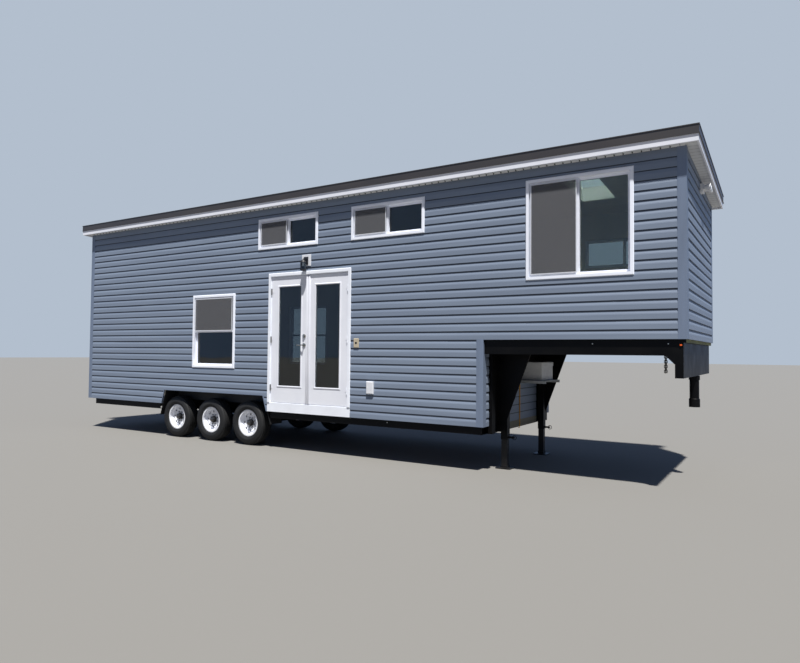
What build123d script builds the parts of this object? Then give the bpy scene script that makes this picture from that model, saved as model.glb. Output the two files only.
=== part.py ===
from build123d import *
import os
from math import ceil, sqrt

# Tiny house on wheels, in millimetres.
# +X is the front, where the loft hangs over the gooseneck, and +Z is up.
# The near side, with the double door, faces -Y. The origin is on the ground under the middle of the roof.

# Shell of the house
house_length = 11125
house_width = 2600
wall_thickness = 115
siding_thickness = 20
course = 114.3
skirt_cover = 40
overhang_height = 1742
step_length = 2450
roof_fall = 1 / 16
floor_thickness = 70
floor_seam = 0.3
wheel_side_clearance = 30
loft_floor_thickness = 38
loft_floor_setback = 6

# Roof edge and skylight
eave_overhang = 135
end_overhang = 150
soffit_thickness = 14
fascia_height = 78
fascia_drop = 22
fascia_thickness = 20
roof_seam = 0.3
roof_edge_height = 110
roof_edge_thickness = 12
drip_lip_height = 10
drip_lip_proud = 6
roof_sheet_thickness = 6
skylight_length = 1180
skylight_width = 550
skylight_from_front = 1380
skylight_from_near = 1150
skylight_curb = 40
skylight_rise = 70
skylight_lip = 10

# Trim and windows
corner_width = 85
corner_proud = 14
corner_gap = 5
frame_flange = 34
frame_face = 42
frame_proud = 24
frame_depth = 88
sash_width = 34
sash_depth = 34
sash_setback = 4
glass_thickness = 20
glass_bite = 8

# Windows, placed by their middles back from the front wall
low_window_width = 1050
low_window_height = 1270
low_window_from_front = 7525
low_window_drop = 470
upper_window_width = 1260
upper_window_height = 510
upper_window_head_drop = 171.7
rear_upper_window_from_front = 5860
front_upper_window_from_front = 3963
loft_window_width = 1310
loft_window_height = 1270
loft_window_head_drop = 156.7
loft_window_from_front = 1205
far_window_from_front = 4000
far_loft_window_head_drop = 345
space_over_door = 408
header_depth = 164

# Double door
door_from_front = 5412
leaf_width = 757
leaf_height = 2008
leaf_thickness = 45
leaf_lift = 12
threshold = 6
meeting_gap = 10
door_gap = 5
jamb_thickness = 32
jamb_reveal = 12
door_trim_width = 62
door_trim_proud = 24
stop_width = 13
stop_depth = 30
sill_proud = 12
pane_width = 466
pane_height = 1580
pane_from_foot = 80
pane_from_hinge = 150
pane_thickness = 24
pane_rim = 26
pane_rim_proud = 8
astragal_width = 33
astragal_proud = 10
hinge_radius = 8
hinge_pin_radius = 4
hinge_height = 100
hinge_from_end = 230
hinge_barrel_gap = 1
hinge_plate = 3
hinge_plate_width = 34
running_clearance = 0.1

# Wheels and axles
tyre_radius = 369
tyre_width = 225
tread_width = 172
groove_width = 9
groove_depth = 8
tyre_inset = 45
axle_spacing = 892
axle_from_front = 7635
rim_radius = 220
bead_radius = 203
bead_half = 80
rim_wall = 7
well_radius = 182
hand_hole_circle = 138
hand_hole_radius = 17
lug_count = 8
lug_circle = 82.5
lug_radius = 12
lug_height = 20
disc_crown = 18
disc_edge_rise = 6
disc_boss = 9
drum_wall = 10
drum_web = 4
drum_gap = 10
shoulder_drop = 16
shoulder_side = 14
hub_radius = 57
hub_proud = 62
cap_radius = 38
cap_height = 24
drum_radius = 152
drum_depth = 62
backing_thickness = 8
backing_gap = 5
spindle_radius = 20
spindle_end_gap = 1
axle_radius = 38
floor_over_tyre = 4
well_rise = 103
arch_front = 6343
arch_rear = 8785
arch_lean = 150
arch_foot = 384
liner_thickness = 6

# Springs
spring_half = 315
spring_camber = 14
spring_width = 45
leaf_plate = 9
leaf_count = 4
leaf_step = 62
eye_radius = 16
eye_bore = 8
pin_clearance = 0.3
hanger_plate = 6
hanger_gap = 0.5
pivot_drop = 30

# Trailer frame
rail_height = 178
rail_width = 76
rail_web = 10
rail_flange = 10
rail_from_tyre = 135
side_channel_width = 50
side_channel_plate = 9
frame_rear = 10930
cross_height = 76
cross_width = 50
cross_plate = 8
cross_pitch = 700
neck_y = 800
neck_height = 148
neck_width = 64
edge_channel_width = 42
neck_plate = 12
neck_panel_margin = 180
upright_depth = 40
upright_width = 110
upright_from_edge = 10
neck_cross_count = 4
nose_setback = 35
nose_depth = 400
nose_length = 90
nose_plate = 12
nose_gusset = 100
gusset_top_length = 470
gusset_foot_length = 110
gusset_toe_height = 180
gusset_toe_length = 30

# Landing legs
leg_size = 80
leg_tube_wall = 6
leg_clearance = 0.5
leg_tube_drop = 100
leg_tube_reach = 770
leg_from_step = 90
leg_overlap = 300
leg_hole_radius = 10
leg_hole_pitch = 70
leg_hole_count = 5
foot_size = 220
foot_thickness = 12
foot_collar = 30
leg_pin_radius = 14
leg_pin_length = 85
leg_ring_radius = 28
leg_ring_wire = 4

# Coupler and safety chains
sleeve_radius = 66
coupler_radius = 57
coupler_mouth = 902
coupler_head_radius = 66
coupler_head_height = 110
socket_radius = 29.8
socket_depth = 62
chain_wire = 9
chain_link_inner = 32
chain_link_width = 31
chain_link_count = 9
chain_spacing = 90
chain_play = 0.3
staple_half_width = 16
chain_from_front = 420

# Battery box and strap
shelf_from_beam = 370
shelf_length = 500
shelf_width = 640
shelf_plate = 8
shelf_bar_height = 40
shelf_bar_width = 30
battery_length = 360
battery_width = 480
battery_height = 262
battery_lid_height = 60
battery_lid_proud = 8
battery_from_panel = 60
strap_width = 30
strap_thickness = 3
strap_y = -20
hook_wire = 4
hook_clearance = 3
hook_rise = 26

# Planes that the pieces share
front_x = house_length / 2
rear_x = -house_length / 2
step_x = front_x - step_length
near_y = -house_width / 2
far_y = house_width / 2
near_inner = near_y + wall_thickness
far_inner = far_y - wall_thickness
deck_y = house_width / 2 - siding_thickness
floor_top = 2 * tyre_radius + floor_over_tyre
floor_bottom = floor_top - floor_thickness
rail_bottom = floor_bottom - rail_height
loft_floor_bottom = overhang_height - loft_floor_thickness
skirt_bottom = overhang_height - ceil((overhang_height - floor_bottom + skirt_cover) / course) * course
wheel_inner_y = house_width / 2 - tyre_inset - tyre_width
rail_y = wheel_inner_y - rail_from_tyre
arch_top = floor_top + well_rise
arch_front_x = front_x - arch_front
arch_rear_x = front_x - arch_rear
frame_rear_x = front_x - frame_rear
neck_top = loft_floor_bottom
neck_bottom = neck_top - neck_height
neck_panel_y = house_width / 2 - neck_panel_margin
nose_front_x = front_x - nose_setback
nose_rear_x = nose_front_x - nose_length

# Doorway
door_x = front_x - door_from_front
leaf_bottom = floor_top + leaf_lift
frame_inner_half = leaf_width + meeting_gap / 2 + door_gap
rough_half = frame_inner_half + jamb_thickness
frame_inner_top = leaf_bottom + leaf_height + door_gap
rough_top = frame_inner_top + jamb_thickness
trim_half = frame_inner_half + door_trim_width
trim_top = frame_inner_top + door_trim_width

# The near wall rises by whole courses until it clears the upper windows, which stand over the door
least_near_wall = trim_top + space_over_door + upper_window_height + header_depth
near_wall_height = overhang_height + ceil((least_near_wall - overhang_height) / course) * course


def block(x0, x1, y0, y1, z0, z1):
    """A plain block between six planes."""
    middle = Pos((x0 + x1) / 2, (y0 + y1) / 2, (z0 + z1) / 2)
    return middle * Box(abs(x1 - x0), abs(y1 - y0), abs(z1 - z0))


def upright_round(x, y, z0, z1, radius):
    """A round bar that stands up."""
    return Pos(x, y, (z0 + z1) / 2) * Cylinder(radius, abs(z1 - z0))


def cross_round(x, y0, y1, z, radius):
    """A round bar across the house."""
    return Pos(x, (y0 + y1) / 2, z) * Rot(90, 0, 0) * Cylinder(radius, abs(y1 - y0))


def side_plate(points, y0, y1):
    """A plate whose outline is seen from the side, between two planes along the house."""
    outline = Plane.XZ.offset(-y1) * Polygon(*points, align=None)
    return extrude(outline, amount=y1 - y0, dir=(0, -1, 0))


def roof_plane(y):
    """Height of the underside of the eaves over a line along the house."""
    return near_wall_height - (y - near_y) * roof_fall


def roof_layer(x0, x1, y0, y1, low, high):
    """A layer that follows the roof's fall, given by its heights above the eaves' underside."""
    outline = Polygon(
        (y0, roof_plane(y0) + low),
        (y1, roof_plane(y1) + low),
        (y1, roof_plane(y1) + high),
        (y0, roof_plane(y0) + high),
        align=None,
    )
    return extrude(Plane.YZ.offset(x0) * outline, amount=x1 - x0, dir=(1, 0, 0))


def under_roof(shape):
    """Trims the top of a wall to the underside of the roof deck."""
    above = roof_layer(
        -house_length, house_length, -house_width, house_width,
        soffit_thickness, near_wall_height,
    )
    return shape - above


def save(node, *solids):
    """Writes one named piece, or a group of like pieces on one body."""
    shape = solids[0] if len(solids) == 1 else Compound(children=list(solids))
    export_step(shape, f"parts/{node}.step")


os.makedirs("parts", exist_ok=True)


# Windows: each has its middle along the wall, its foot, its size, and whether it is parted across or upright
low_sill = overhang_height - low_window_drop
upper_sill = near_wall_height - upper_window_head_drop - upper_window_height
loft_sill = near_wall_height - loft_window_head_drop - loft_window_height
far_loft_sill = roof_plane(far_y) - far_loft_window_head_drop - upper_window_height
low_window = (low_sill, low_window_width, low_window_height, "rail")
upper_window = (upper_sill, upper_window_width, upper_window_height, "mullion")
near_windows = [
    (front_x - low_window_from_front, *low_window),
    (front_x - rear_upper_window_from_front, *upper_window),
    (front_x - front_upper_window_from_front, *upper_window),
    (front_x - loft_window_from_front, loft_sill, loft_window_width, loft_window_height, "mullion"),
]
far_windows = [
    (front_x - low_window_from_front, *low_window),
    (front_x - far_window_from_front, *low_window),
    (front_x - loft_window_from_front, far_loft_sill, upper_window_width, upper_window_height, "mullion"),
]
rear_windows = [(0, *low_window)]


def window_hole(width, height):
    """The rough opening behind a window, with the wall's face at y = 0."""
    hole_width = width - 2 * frame_flange
    hole_height = height - 2 * frame_flange
    return Pos(0, 0, height / 2) * Box(hole_width, 3 * wall_thickness, hole_height)


def ring(width, height, bar, y0, y1):
    """A rectangular ring about the window's middle, between two depths."""
    outer = Pos(0, (y0 + y1) / 2, 0) * Box(width, y1 - y0, height)
    inner = Pos(0, (y0 + y1) / 2, 0) * Box(width - 2 * bar, y1 - y0, height - 2 * bar)
    return outer - inner


def sash_layout(width, height, kind):
    """The two sashes: middle, size and depth of each. The second one slides behind the first."""
    clear_width = width - 2 * frame_face
    clear_height = height - 2 * frame_face
    sashes = []
    for way, depth in ((1, sash_setback), (-1, sash_setback + sash_depth)):
        if kind == "rail":
            size = (clear_width, (clear_height + sash_width) / 2)
            place = (0, way * (clear_height - size[1]) / 2)
        else:
            size = ((clear_width + sash_width) / 2, clear_height)
            place = (-way * (clear_width - size[0]) / 2, 0)
        sashes.append((place, size, depth))
    return sashes


def window_panes(width, height, kind):
    """The sealed pane in each sash, let into the sash by the depth of its rebate."""
    panes = []
    for (x, z), (sash_w, sash_h), depth in sash_layout(width, height, kind):
        pane_w = sash_w - 2 * sash_width + 2 * glass_bite
        pane_h = sash_h - 2 * sash_width + 2 * glass_bite
        y = depth + sash_depth / 2
        panes.append(Pos(x, y, z + height / 2) * Box(pane_w, glass_thickness, pane_h))
    return panes


def window_frame(width, height, kind):
    """A white vinyl window: a flange on the siding, a body in the opening, and two sashes."""
    frame = ring(width, height, frame_face, -frame_proud, 0)
    frame = chamfer(frame.faces().sort_by(Axis.Y)[0].outer_wire().edges(), frame_proud / 3)
    body_bar = frame_face - frame_flange
    frame += ring(width - 2 * frame_flange, height - 2 * frame_flange, body_bar, 0, frame_depth)
    for (x, z), (sash_w, sash_h), depth in sash_layout(width, height, kind):
        frame += Pos(x, 0, z) * ring(sash_w, sash_h, sash_width, depth, depth + sash_depth)
    frame = Pos(0, 0, height / 2) * frame
    for pane in window_panes(width, height, kind):
        frame -= pane
    return frame


def on_near(window):
    return Pos(window[0], near_y, window[1])


def on_far(window):
    return Pos(window[0], far_y, window[1]) * Rot(0, 0, 180)


def on_rear(window):
    return Pos(rear_x, window[0], window[1]) * Rot(0, 0, -90)


placed_windows = [(on_near(w), w[2:]) for w in near_windows]
placed_windows += [(on_far(w), w[2:]) for w in far_windows]
placed_windows += [(on_rear(w), w[2:]) for w in rear_windows]
window_holes = [place * window_hole(size[0], size[1]) for place, size in placed_windows]
near_holes = window_holes[:4]
far_holes = window_holes[4:7]
rear_hole = window_holes[7]
panes = []
for place, size in placed_windows:
    panes += [place * pane for pane in window_panes(*size)]
save("window_frames", *[place * window_frame(*size) for place, size in placed_windows])


# Near wall, split beside and over the doorway, and again where the loft steps out
def arch_space(y0, y1, margin=0):
    """The space over the wheels, wider at its foot, that the wall and the floor are cut back from."""
    outline = (
        (arch_rear_x - arch_lean - margin, arch_foot),
        (arch_front_x + arch_lean + margin, arch_foot),
        (arch_front_x + margin, arch_top + margin),
        (arch_rear_x - margin, arch_top + margin),
    )
    return side_plate(outline, y0, y1)


wall_reach = near_wall_height + wall_thickness
wall_beside_wheels = block(rear_x, door_x - rough_half, near_y, near_inner, floor_top, rough_top)
wall_beside_wheels -= arch_space(near_y, near_inner)
wall_beside_wheels -= near_holes[0]
wall_beside_step = block(door_x + rough_half, step_x, near_y, near_inner, floor_top, rough_top)
save("near_wall_lower", wall_beside_wheels, wall_beside_step)
wall_over_door = block(rear_x, step_x, near_y, near_inner, rough_top, wall_reach)
save("near_wall_top", under_roof(wall_over_door - near_holes[1] - near_holes[2]))
wall_at_loft = block(step_x, front_x, near_y, near_inner, overhang_height, wall_reach)
save("near_wall_loft", under_roof(wall_at_loft - near_holes[3]))

# Far wall, of the same make, with no door
far_main = block(rear_x, step_x, far_inner, far_y, floor_top, wall_reach)
far_main -= arch_space(far_inner, far_y)
save("far_wall_main", under_roof(far_main - far_holes[0] - far_holes[1]))
far_loft = block(step_x, front_x, far_inner, far_y, overhang_height, wall_reach)
save("far_wall_loft", under_roof(far_loft - far_holes[2]))

# End walls stand between the side walls
rear_wall = block(rear_x, rear_x + wall_thickness, near_inner, far_inner, floor_top, wall_reach)
save("rear_wall", under_roof(rear_wall - rear_hole))
front_wall = block(front_x - wall_thickness, front_x, near_inner, far_inner, overhang_height, wall_reach)
save("front_wall", under_roof(front_wall))
lower_front_wall = block(step_x - wall_thickness, step_x, near_inner, far_inner, floor_top, loft_floor_bottom)
save("lower_front_wall", lower_front_wall)

# Main deck: one panel between the wheel wells and two at each end, butted with fine seams
well_inner_y = wheel_inner_y - wheel_side_clearance
recess_rear_x = arch_rear_x - arch_lean
recess_front_x = arch_front_x + arch_lean
floor_rear_x = rear_x + siding_thickness
floor_front_x = step_x - siding_thickness
panel_side_y = well_inner_y - liner_thickness - floor_seam
floor_panels = [block(floor_rear_x, floor_front_x, -panel_side_y, panel_side_y, floor_bottom, floor_top)]
for side in (-1, 1):
    inner = side * (panel_side_y + floor_seam)
    beside_wells = block(floor_rear_x, floor_front_x, inner, side * deck_y, floor_bottom, floor_top)
    beside_wells -= arch_space(-deck_y, deck_y, floor_seam)
    floor_panels.extend(beside_wells.solids())
save("main_floor", *floor_panels)

# Loft deck over the gooseneck, notched round the side walls of the room below
loft_floor = block(
    step_x - wall_thickness, front_x - loft_floor_setback, -deck_y, deck_y,
    loft_floor_bottom, overhang_height,
)
for side in (-1, 1):
    loft_floor -= block(
        step_x - wall_thickness, step_x, side * near_inner, side * near_y,
        loft_floor_bottom, overhang_height,
    )
save("loft_floor", loft_floor)

# The lowest siding courses hang over the edge of the deck and stop at the wheels and the door
skirts = block(rear_x, door_x - trim_half, near_y, -deck_y, skirt_bottom, floor_top)
skirts -= arch_space(near_y, -deck_y)
far_skirts = block(rear_x, step_x, deck_y, far_y, skirt_bottom, floor_top) - arch_space(deck_y, far_y)
skirt_pieces = [*skirts.solids(), *far_skirts.solids()]
skirt_pieces.append(block(door_x + trim_half, step_x, near_y, -deck_y, skirt_bottom, floor_top))
skirt_pieces.append(block(rear_x, floor_rear_x, -deck_y, deck_y, skirt_bottom, floor_top))
for side in (-1, 1):
    skirt_pieces.append(
        block(floor_front_x, step_x, side * neck_panel_y, side * deck_y, skirt_bottom, floor_top)
    )
save("siding_skirts", *skirt_pieces)


# Roof: deck, soffit under its edge, white fascia, and a dark metal covering with a drip lip
eave_y = house_width / 2 + eave_overhang
roof_front = front_x + end_overhang
roof_rear = rear_x - end_overhang
roof_inside = (roof_rear + fascia_thickness, roof_front - fascia_thickness)
roof_inside_y = (fascia_thickness - eave_y, eave_y - fascia_thickness)
fascia_top = fascia_height - fascia_drop
edge_top = fascia_top + roof_edge_height
sheet_low = edge_top - roof_sheet_thickness
skylight_x = front_x - skylight_from_front
skylight_y = near_y + skylight_from_near


def skylight_layer(margin, low, high):
    """A layer of the skylight, taken in from its outline by a margin."""
    half_width = skylight_width / 2 - margin
    half_length = skylight_length / 2 - margin
    return roof_layer(
        skylight_x - half_width, skylight_x + half_width,
        skylight_y - half_length, skylight_y + half_length, low, high,
    )


roof_deck = roof_layer(*roof_inside, *roof_inside_y, soffit_thickness, sheet_low)
save("roof_deck", roof_deck - skylight_layer(0, 0, edge_top))
save("soffit", *[
    roof_layer(*roof_inside, roof_inside_y[0], near_y, 0, soffit_thickness),
    roof_layer(*roof_inside, far_y, roof_inside_y[1], 0, soffit_thickness),
    roof_layer(roof_inside[0], rear_x, near_y + roof_seam, far_y - roof_seam, 0, soffit_thickness),
    roof_layer(front_x, roof_inside[1], near_y + roof_seam, far_y - roof_seam, 0, soffit_thickness),
])


def four_sides(out, thickness, low, high):
    """Four boards round the roof, set out from the fascia's face, butted at the corners with fine seams."""
    x0 = roof_rear - out
    x1 = roof_front + out
    y = eave_y + out
    inner_y = y - thickness - roof_seam
    return [
        roof_layer(x0, x1, -y, thickness - y, low, high),
        roof_layer(x0, x1, y - thickness, y, low, high),
        roof_layer(x0, x0 + thickness, -inner_y, inner_y, low, high),
        roof_layer(x1 - thickness, x1, -inner_y, inner_y, low, high),
    ]


save("fascia", *four_sides(0, fascia_thickness, -fascia_drop, fascia_top))
band_out = roof_edge_thickness - drip_lip_proud
edge_bands = four_sides(band_out, fascia_thickness + band_out, fascia_top, edge_top)
low_lips = four_sides(
    roof_edge_thickness, fascia_thickness + roof_edge_thickness, fascia_top, fascia_top + drip_lip_height,
)
high_lips = four_sides(
    roof_edge_thickness, fascia_thickness + roof_edge_thickness, edge_top - drip_lip_height, edge_top,
)
edge_trims = [band + low_lip + high_lip for band, low_lip, high_lip in zip(edge_bands, low_lips, high_lips)]
roof_sheet = roof_layer(
    roof_inside[0] + roof_seam, roof_inside[1] - roof_seam,
    roof_inside_y[0] + roof_seam, roof_inside_y[1] - roof_seam, sheet_low, edge_top,
)
save("roof_covering", roof_sheet - skylight_layer(0, 0, edge_top), *edge_trims)

# Skylight: a curb through the roof with a lip that holds its pane down
curb_top = edge_top + skylight_rise
pane_low = curb_top - skylight_lip - glass_thickness
skylight_pane = skylight_layer(skylight_curb - glass_bite, pane_low, pane_low + glass_thickness)
curb = skylight_layer(0, soffit_thickness, curb_top) - skylight_layer(skylight_curb, 0, curb_top)
save("skylight_frame", curb - skylight_pane)
save("window_glass", *panes, skylight_pane)


# Corner posts, wrapped round each outer corner of the siding
def corner_post(x, y, x_way, y_way, z0, z1):
    """An angle of trim that stands proud of the siding on both faces of a corner."""
    post = block(
        x + x_way * corner_proud, x - x_way * corner_width,
        y + y_way * corner_proud, y - y_way * corner_width, z0, z1,
    )
    return post - block(x, x - x_way * corner_width, y, y - y_way * corner_width, z0, z1)


posts = []
for y, y_way in ((near_y, -1), (far_y, 1)):
    post_top = roof_plane(y if y_way < 0 else y + corner_proud) - corner_proud * roof_fall - corner_gap
    if y_way < 0:
        post_top -= corner_width * roof_fall
    posts.append(corner_post(rear_x, y, -1, y_way, skirt_bottom, post_top))
    posts.append(corner_post(front_x, y, 1, y_way, overhang_height, post_top))
    posts.append(corner_post(step_x, y, 1, y_way, skirt_bottom, loft_floor_bottom))
save("corner_posts", *posts)


# Door frame: jambs and head with a reveal, stops behind the leaves, and a thin threshold
door_frame = block(door_x - rough_half, door_x + rough_half, near_y, near_inner, floor_top, rough_top)
door_frame -= block(
    door_x - frame_inner_half, door_x + frame_inner_half, near_y, near_inner,
    floor_top + threshold, frame_inner_top,
)
opening_half = frame_inner_half + jamb_reveal
opening_top = frame_inner_top + jamb_reveal
brickmould = block(
    door_x - trim_half, door_x + trim_half, near_y - door_trim_proud, near_y, floor_top, trim_top,
)
brickmould = chamfer(brickmould.faces().sort_by(Axis.Y)[0].edges(), door_trim_proud / 3)
brickmould -= block(
    door_x - opening_half, door_x + opening_half, near_y - door_trim_proud, near_y,
    floor_top, opening_top,
)
stop_y = near_y + leaf_thickness + door_gap
stops = block(
    door_x - frame_inner_half, door_x + frame_inner_half, stop_y, stop_y + stop_depth,
    floor_top + threshold, frame_inner_top,
)
stops -= block(
    door_x - frame_inner_half + stop_width, door_x + frame_inner_half - stop_width,
    stop_y, stop_y + stop_depth, floor_top + threshold, frame_inner_top - stop_width,
)
save("door_frame", door_frame + brickmould + stops)
sill = block(door_x - trim_half, door_x + trim_half, near_y - sill_proud, -deck_y, skirt_bottom, floor_top)
save("door_sill", sill)


# Door leaves: a slab with one tall pane in a raised rim, and a flat half astragal on its meeting edge
def pane_block(hinge_x, way, margin, y0, y1):
    """The pane's outline in a leaf, grown by a margin, between two depths behind the leaf's face."""
    pane_x = hinge_x + way * pane_from_hinge
    pane_z = leaf_bottom + pane_from_foot
    return block(
        pane_x - way * margin, pane_x + way * (pane_width + margin), near_y + y0, near_y + y1,
        pane_z - margin, pane_z + pane_height + margin,
    )


def door_pane(hinge_x, way):
    middle = leaf_thickness / 2
    return pane_block(hinge_x, way, glass_bite, middle - pane_thickness / 2, middle + pane_thickness / 2)


def door_leaf(hinge_x, way):
    edge_x = hinge_x + way * leaf_width
    leaf_top = leaf_bottom + leaf_height
    leaf = block(hinge_x, edge_x, near_y, near_y + leaf_thickness, leaf_bottom, leaf_top)
    rim = pane_block(hinge_x, way, pane_rim, -pane_rim_proud, leaf_thickness + pane_rim_proud)
    for face in (rim.faces().sort_by(Axis.Y)[0], rim.faces().sort_by(Axis.Y)[-1]):
        rim = chamfer(face.edges(), pane_rim_proud - 1)
    leaf += rim
    leaf += block(
        edge_x - way * astragal_width, edge_x, near_y - astragal_proud, near_y, leaf_bottom, leaf_top,
    )
    leaf -= pane_block(hinge_x, way, 0, -pane_rim_proud, leaf_thickness + pane_rim_proud)
    return leaf - door_pane(hinge_x, way)


left_hinge_x = door_x - frame_inner_half + door_gap
right_hinge_x = door_x + frame_inner_half - door_gap
save("left_door", door_leaf(left_hinge_x, 1))
save("right_door", door_leaf(right_hinge_x, -1))
save("left_door_glass", door_pane(left_hinge_x, 1))
save("right_door_glass", door_pane(right_hinge_x, -1))

# Hinges: the outer knuckles and the pin belong to the jamb, the middle knuckle to the leaf
hinge_y = near_y - hinge_radius - hinge_plate / 2
knuckle = hinge_height / 3
hinge_heights = [
    leaf_bottom + hinge_from_end,
    leaf_bottom + leaf_height / 2,
    leaf_bottom + leaf_height - hinge_from_end,
]


def hinge_wing(x, way, width, z0, z1):
    """The plate that joins a knuckle to the face it is screwed to."""
    wing = block(x, x + way * width, near_y - hinge_plate, near_y, z0, z1)
    return wing + block(x, x + way * hinge_plate, hinge_y, near_y, z0, z1)


def jamb_hinge(x, way, z):
    low = z - hinge_height / 2
    high = z + hinge_height / 2
    half = upright_round(x, hinge_y, low, high, hinge_pin_radius)
    for z0, z1 in ((low, low + knuckle - hinge_barrel_gap), (high - knuckle + hinge_barrel_gap, high)):
        half += upright_round(x, hinge_y, z0, z1, hinge_radius)
        half += hinge_wing(x - way * door_gap / 2, -way, jamb_reveal, z0, z1)
    return half


def leaf_hinge(x, way, z):
    z0 = z - knuckle / 2
    z1 = z + knuckle / 2
    half = upright_round(x, hinge_y, z0, z1, hinge_radius)
    half += hinge_wing(x + way * door_gap / 2, way, hinge_plate_width, z0, z1)
    return half - upright_round(x, hinge_y, z0, z1, hinge_pin_radius + running_clearance)


left_pin_x = left_hinge_x - door_gap / 2
right_pin_x = right_hinge_x + door_gap / 2
jamb_hinges = [jamb_hinge(left_pin_x, 1, z) for z in hinge_heights]
jamb_hinges += [jamb_hinge(right_pin_x, -1, z) for z in hinge_heights]
save("hinge_pins", *jamb_hinges)
save("right_door_hardware", *[leaf_hinge(right_pin_x, -1, z) for z in hinge_heights])

# Lever and deadbolt on the left leaf, which opens first
lock_backset = 70
lever_height = 915
bolt_above_lever = 140
rose_radius = 31
rose_depth = 12
lever_reach = 50
lever_length = 112
lever_bar = 9
cylinder_radius = 18
cylinder_depth = 14
lock_x = left_hinge_x + leaf_width - lock_backset
lever_z = leaf_bottom + lever_height
bolt_z = lever_z + bolt_above_lever


def lever_set(face_y, way):
    """A round rose, a neck and a level handle that points back to the hinges."""
    rose = cross_round(lock_x, face_y, face_y + way * rose_depth, lever_z, rose_radius)
    neck = cross_round(lock_x, face_y, face_y + way * (lever_reach + lever_bar), lever_z, lever_bar)
    handle = block(
        lock_x - lever_length, lock_x, face_y + way * (lever_reach - lever_bar),
        face_y + way * (lever_reach + lever_bar), lever_z - lever_bar, lever_z + lever_bar,
    )
    handle = fillet(handle.edges().filter_by(Axis.X), lever_bar * 0.7)
    return rose + neck + handle


left_face = near_y
left_back = near_y + leaf_thickness
bolt = cross_round(lock_x, left_face, left_face - rose_depth, bolt_z, rose_radius)
bolt += cross_round(lock_x, left_face, left_face - rose_depth - cylinder_depth, bolt_z, cylinder_radius)
thumb_turn = cross_round(lock_x, left_back, left_back + rose_depth, bolt_z, rose_radius)
lock_pieces = [lever_set(left_face, -1), lever_set(left_back, 1), bolt, thumb_turn]
left_hinges = [leaf_hinge(left_pin_x, 1, z) for z in hinge_heights]
save("left_door_hardware", *left_hinges, *lock_pieces)


# Blocks that carry the lantern, the outlet and a cable through the siding
lantern_from_front = 5450
lantern_plate_size = 180
lantern_plate_proud = 22
lantern_plate_gap = 75
outlet_from_front = 4215
outlet_size = (120, 45, 180)
outlet_drop = 780
cable_from_front = 4475
cable_block_size = (90, 25, 136)
cable_drop = 110
cable_hole_radius = 18
lantern_x = front_x - lantern_from_front
lantern_plate_z = trim_top + lantern_plate_gap
lantern_face_y = near_y - lantern_plate_proud


def wall_block(x, z, size):
    """A block on the near wall, given by its middle along the wall, its foot and its size."""
    shape = block(x - size[0] / 2, x + size[0] / 2, near_y - size[1], near_y, z, z + size[2])
    return chamfer(shape.faces().sort_by(Axis.Y)[0].edges(), size[1] / 5)


lantern_plate = wall_block(
    lantern_x, lantern_plate_z, (lantern_plate_size, lantern_plate_proud, lantern_plate_size),
)
outlet_cover = wall_block(front_x - outlet_from_front, overhang_height - outlet_drop, outlet_size)
cable_x = front_x - cable_from_front
cable_z = overhang_height - cable_drop
cable_block = wall_block(cable_x, cable_z, cable_block_size)
cable_block -= cross_round(
    cable_x, near_y - cable_block_size[1], near_y, cable_z + cable_block_size[2] / 2, cable_hole_radius,
)
save("mounting_blocks", lantern_plate, outlet_cover, cable_block)

# Porch lantern: a back plate and arm, a cap, a glass drum and a base, in one turned shape
lantern_radius = 50
lantern_reach = 72
lantern_height = 190
lantern_cap = 55
lantern_foot = 26
lantern_glass_radius = 38
lantern_arm = 9
lantern_back_width = 84
lantern_back_height = 120
lantern_back_thickness = 12
lantern_hang = 108
lantern_foot_radius = 30
lantern_crown_radius = 22
lantern_y = lantern_face_y - lantern_reach
lantern_top = lantern_plate_z + lantern_hang
lantern_low = lantern_top - lantern_height
lantern_profile = Polygon(
    (0, 0),
    (lantern_foot_radius, 0),
    (lantern_radius, lantern_foot / 2),
    (lantern_radius, lantern_foot),
    (lantern_glass_radius, lantern_foot),
    (lantern_glass_radius, lantern_height - lantern_cap),
    (lantern_radius, lantern_height - lantern_cap),
    (lantern_crown_radius, lantern_height - lantern_cap / 3),
    (lantern_arm, lantern_height - lantern_cap / 3),
    (lantern_arm, lantern_height),
    (0, lantern_height),
    align=None,
)
lantern = Pos(lantern_x, lantern_y, lantern_low) * revolve(Plane.XZ * lantern_profile, Axis.Z)
lantern += cross_round(lantern_x, lantern_y, lantern_face_y, lantern_top - lantern_arm, lantern_arm)
lantern_back_z = lantern_plate_z + lantern_plate_proud
lantern += block(
    lantern_x - lantern_back_width / 2, lantern_x + lantern_back_width / 2,
    lantern_face_y - lantern_back_thickness, lantern_face_y,
    lantern_back_z, lantern_back_z + lantern_back_height,
)
save("porch_lantern", lantern)

# Twin floodlight under the front eave
flood_drop = 190
flood_box = (45, 120, 130)
flood_head_radius = 46
flood_head_length = 86
flood_spread = 62
flood_bracket_half = 12
flood_z = roof_plane(0) - flood_drop
flood_face = front_x + flood_box[0]
flood = block(front_x, flood_face, -flood_box[1] / 2, flood_box[1] / 2, flood_z, flood_z + flood_box[2])
flood_middle = flood_z + flood_box[2] / 2
flood += Pos(flood_face + flood_head_radius / 2, 0, flood_middle) * Rot(90, 0, 0) * Cylinder(
    flood_head_radius / 3, 2 * flood_spread
)
flood += block(
    front_x, flood_face + flood_head_radius / 2, -flood_bracket_half, flood_bracket_half, flood_z, flood_middle,
)
for side in (-1, 1):
    head = Rot(0, 90, 0) * Cone(flood_head_radius / 2, flood_head_radius, flood_head_length)
    flood += Pos(flood_face + flood_head_length / 2, side * flood_spread, flood_middle) * head
save("flood_light", flood)


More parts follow.
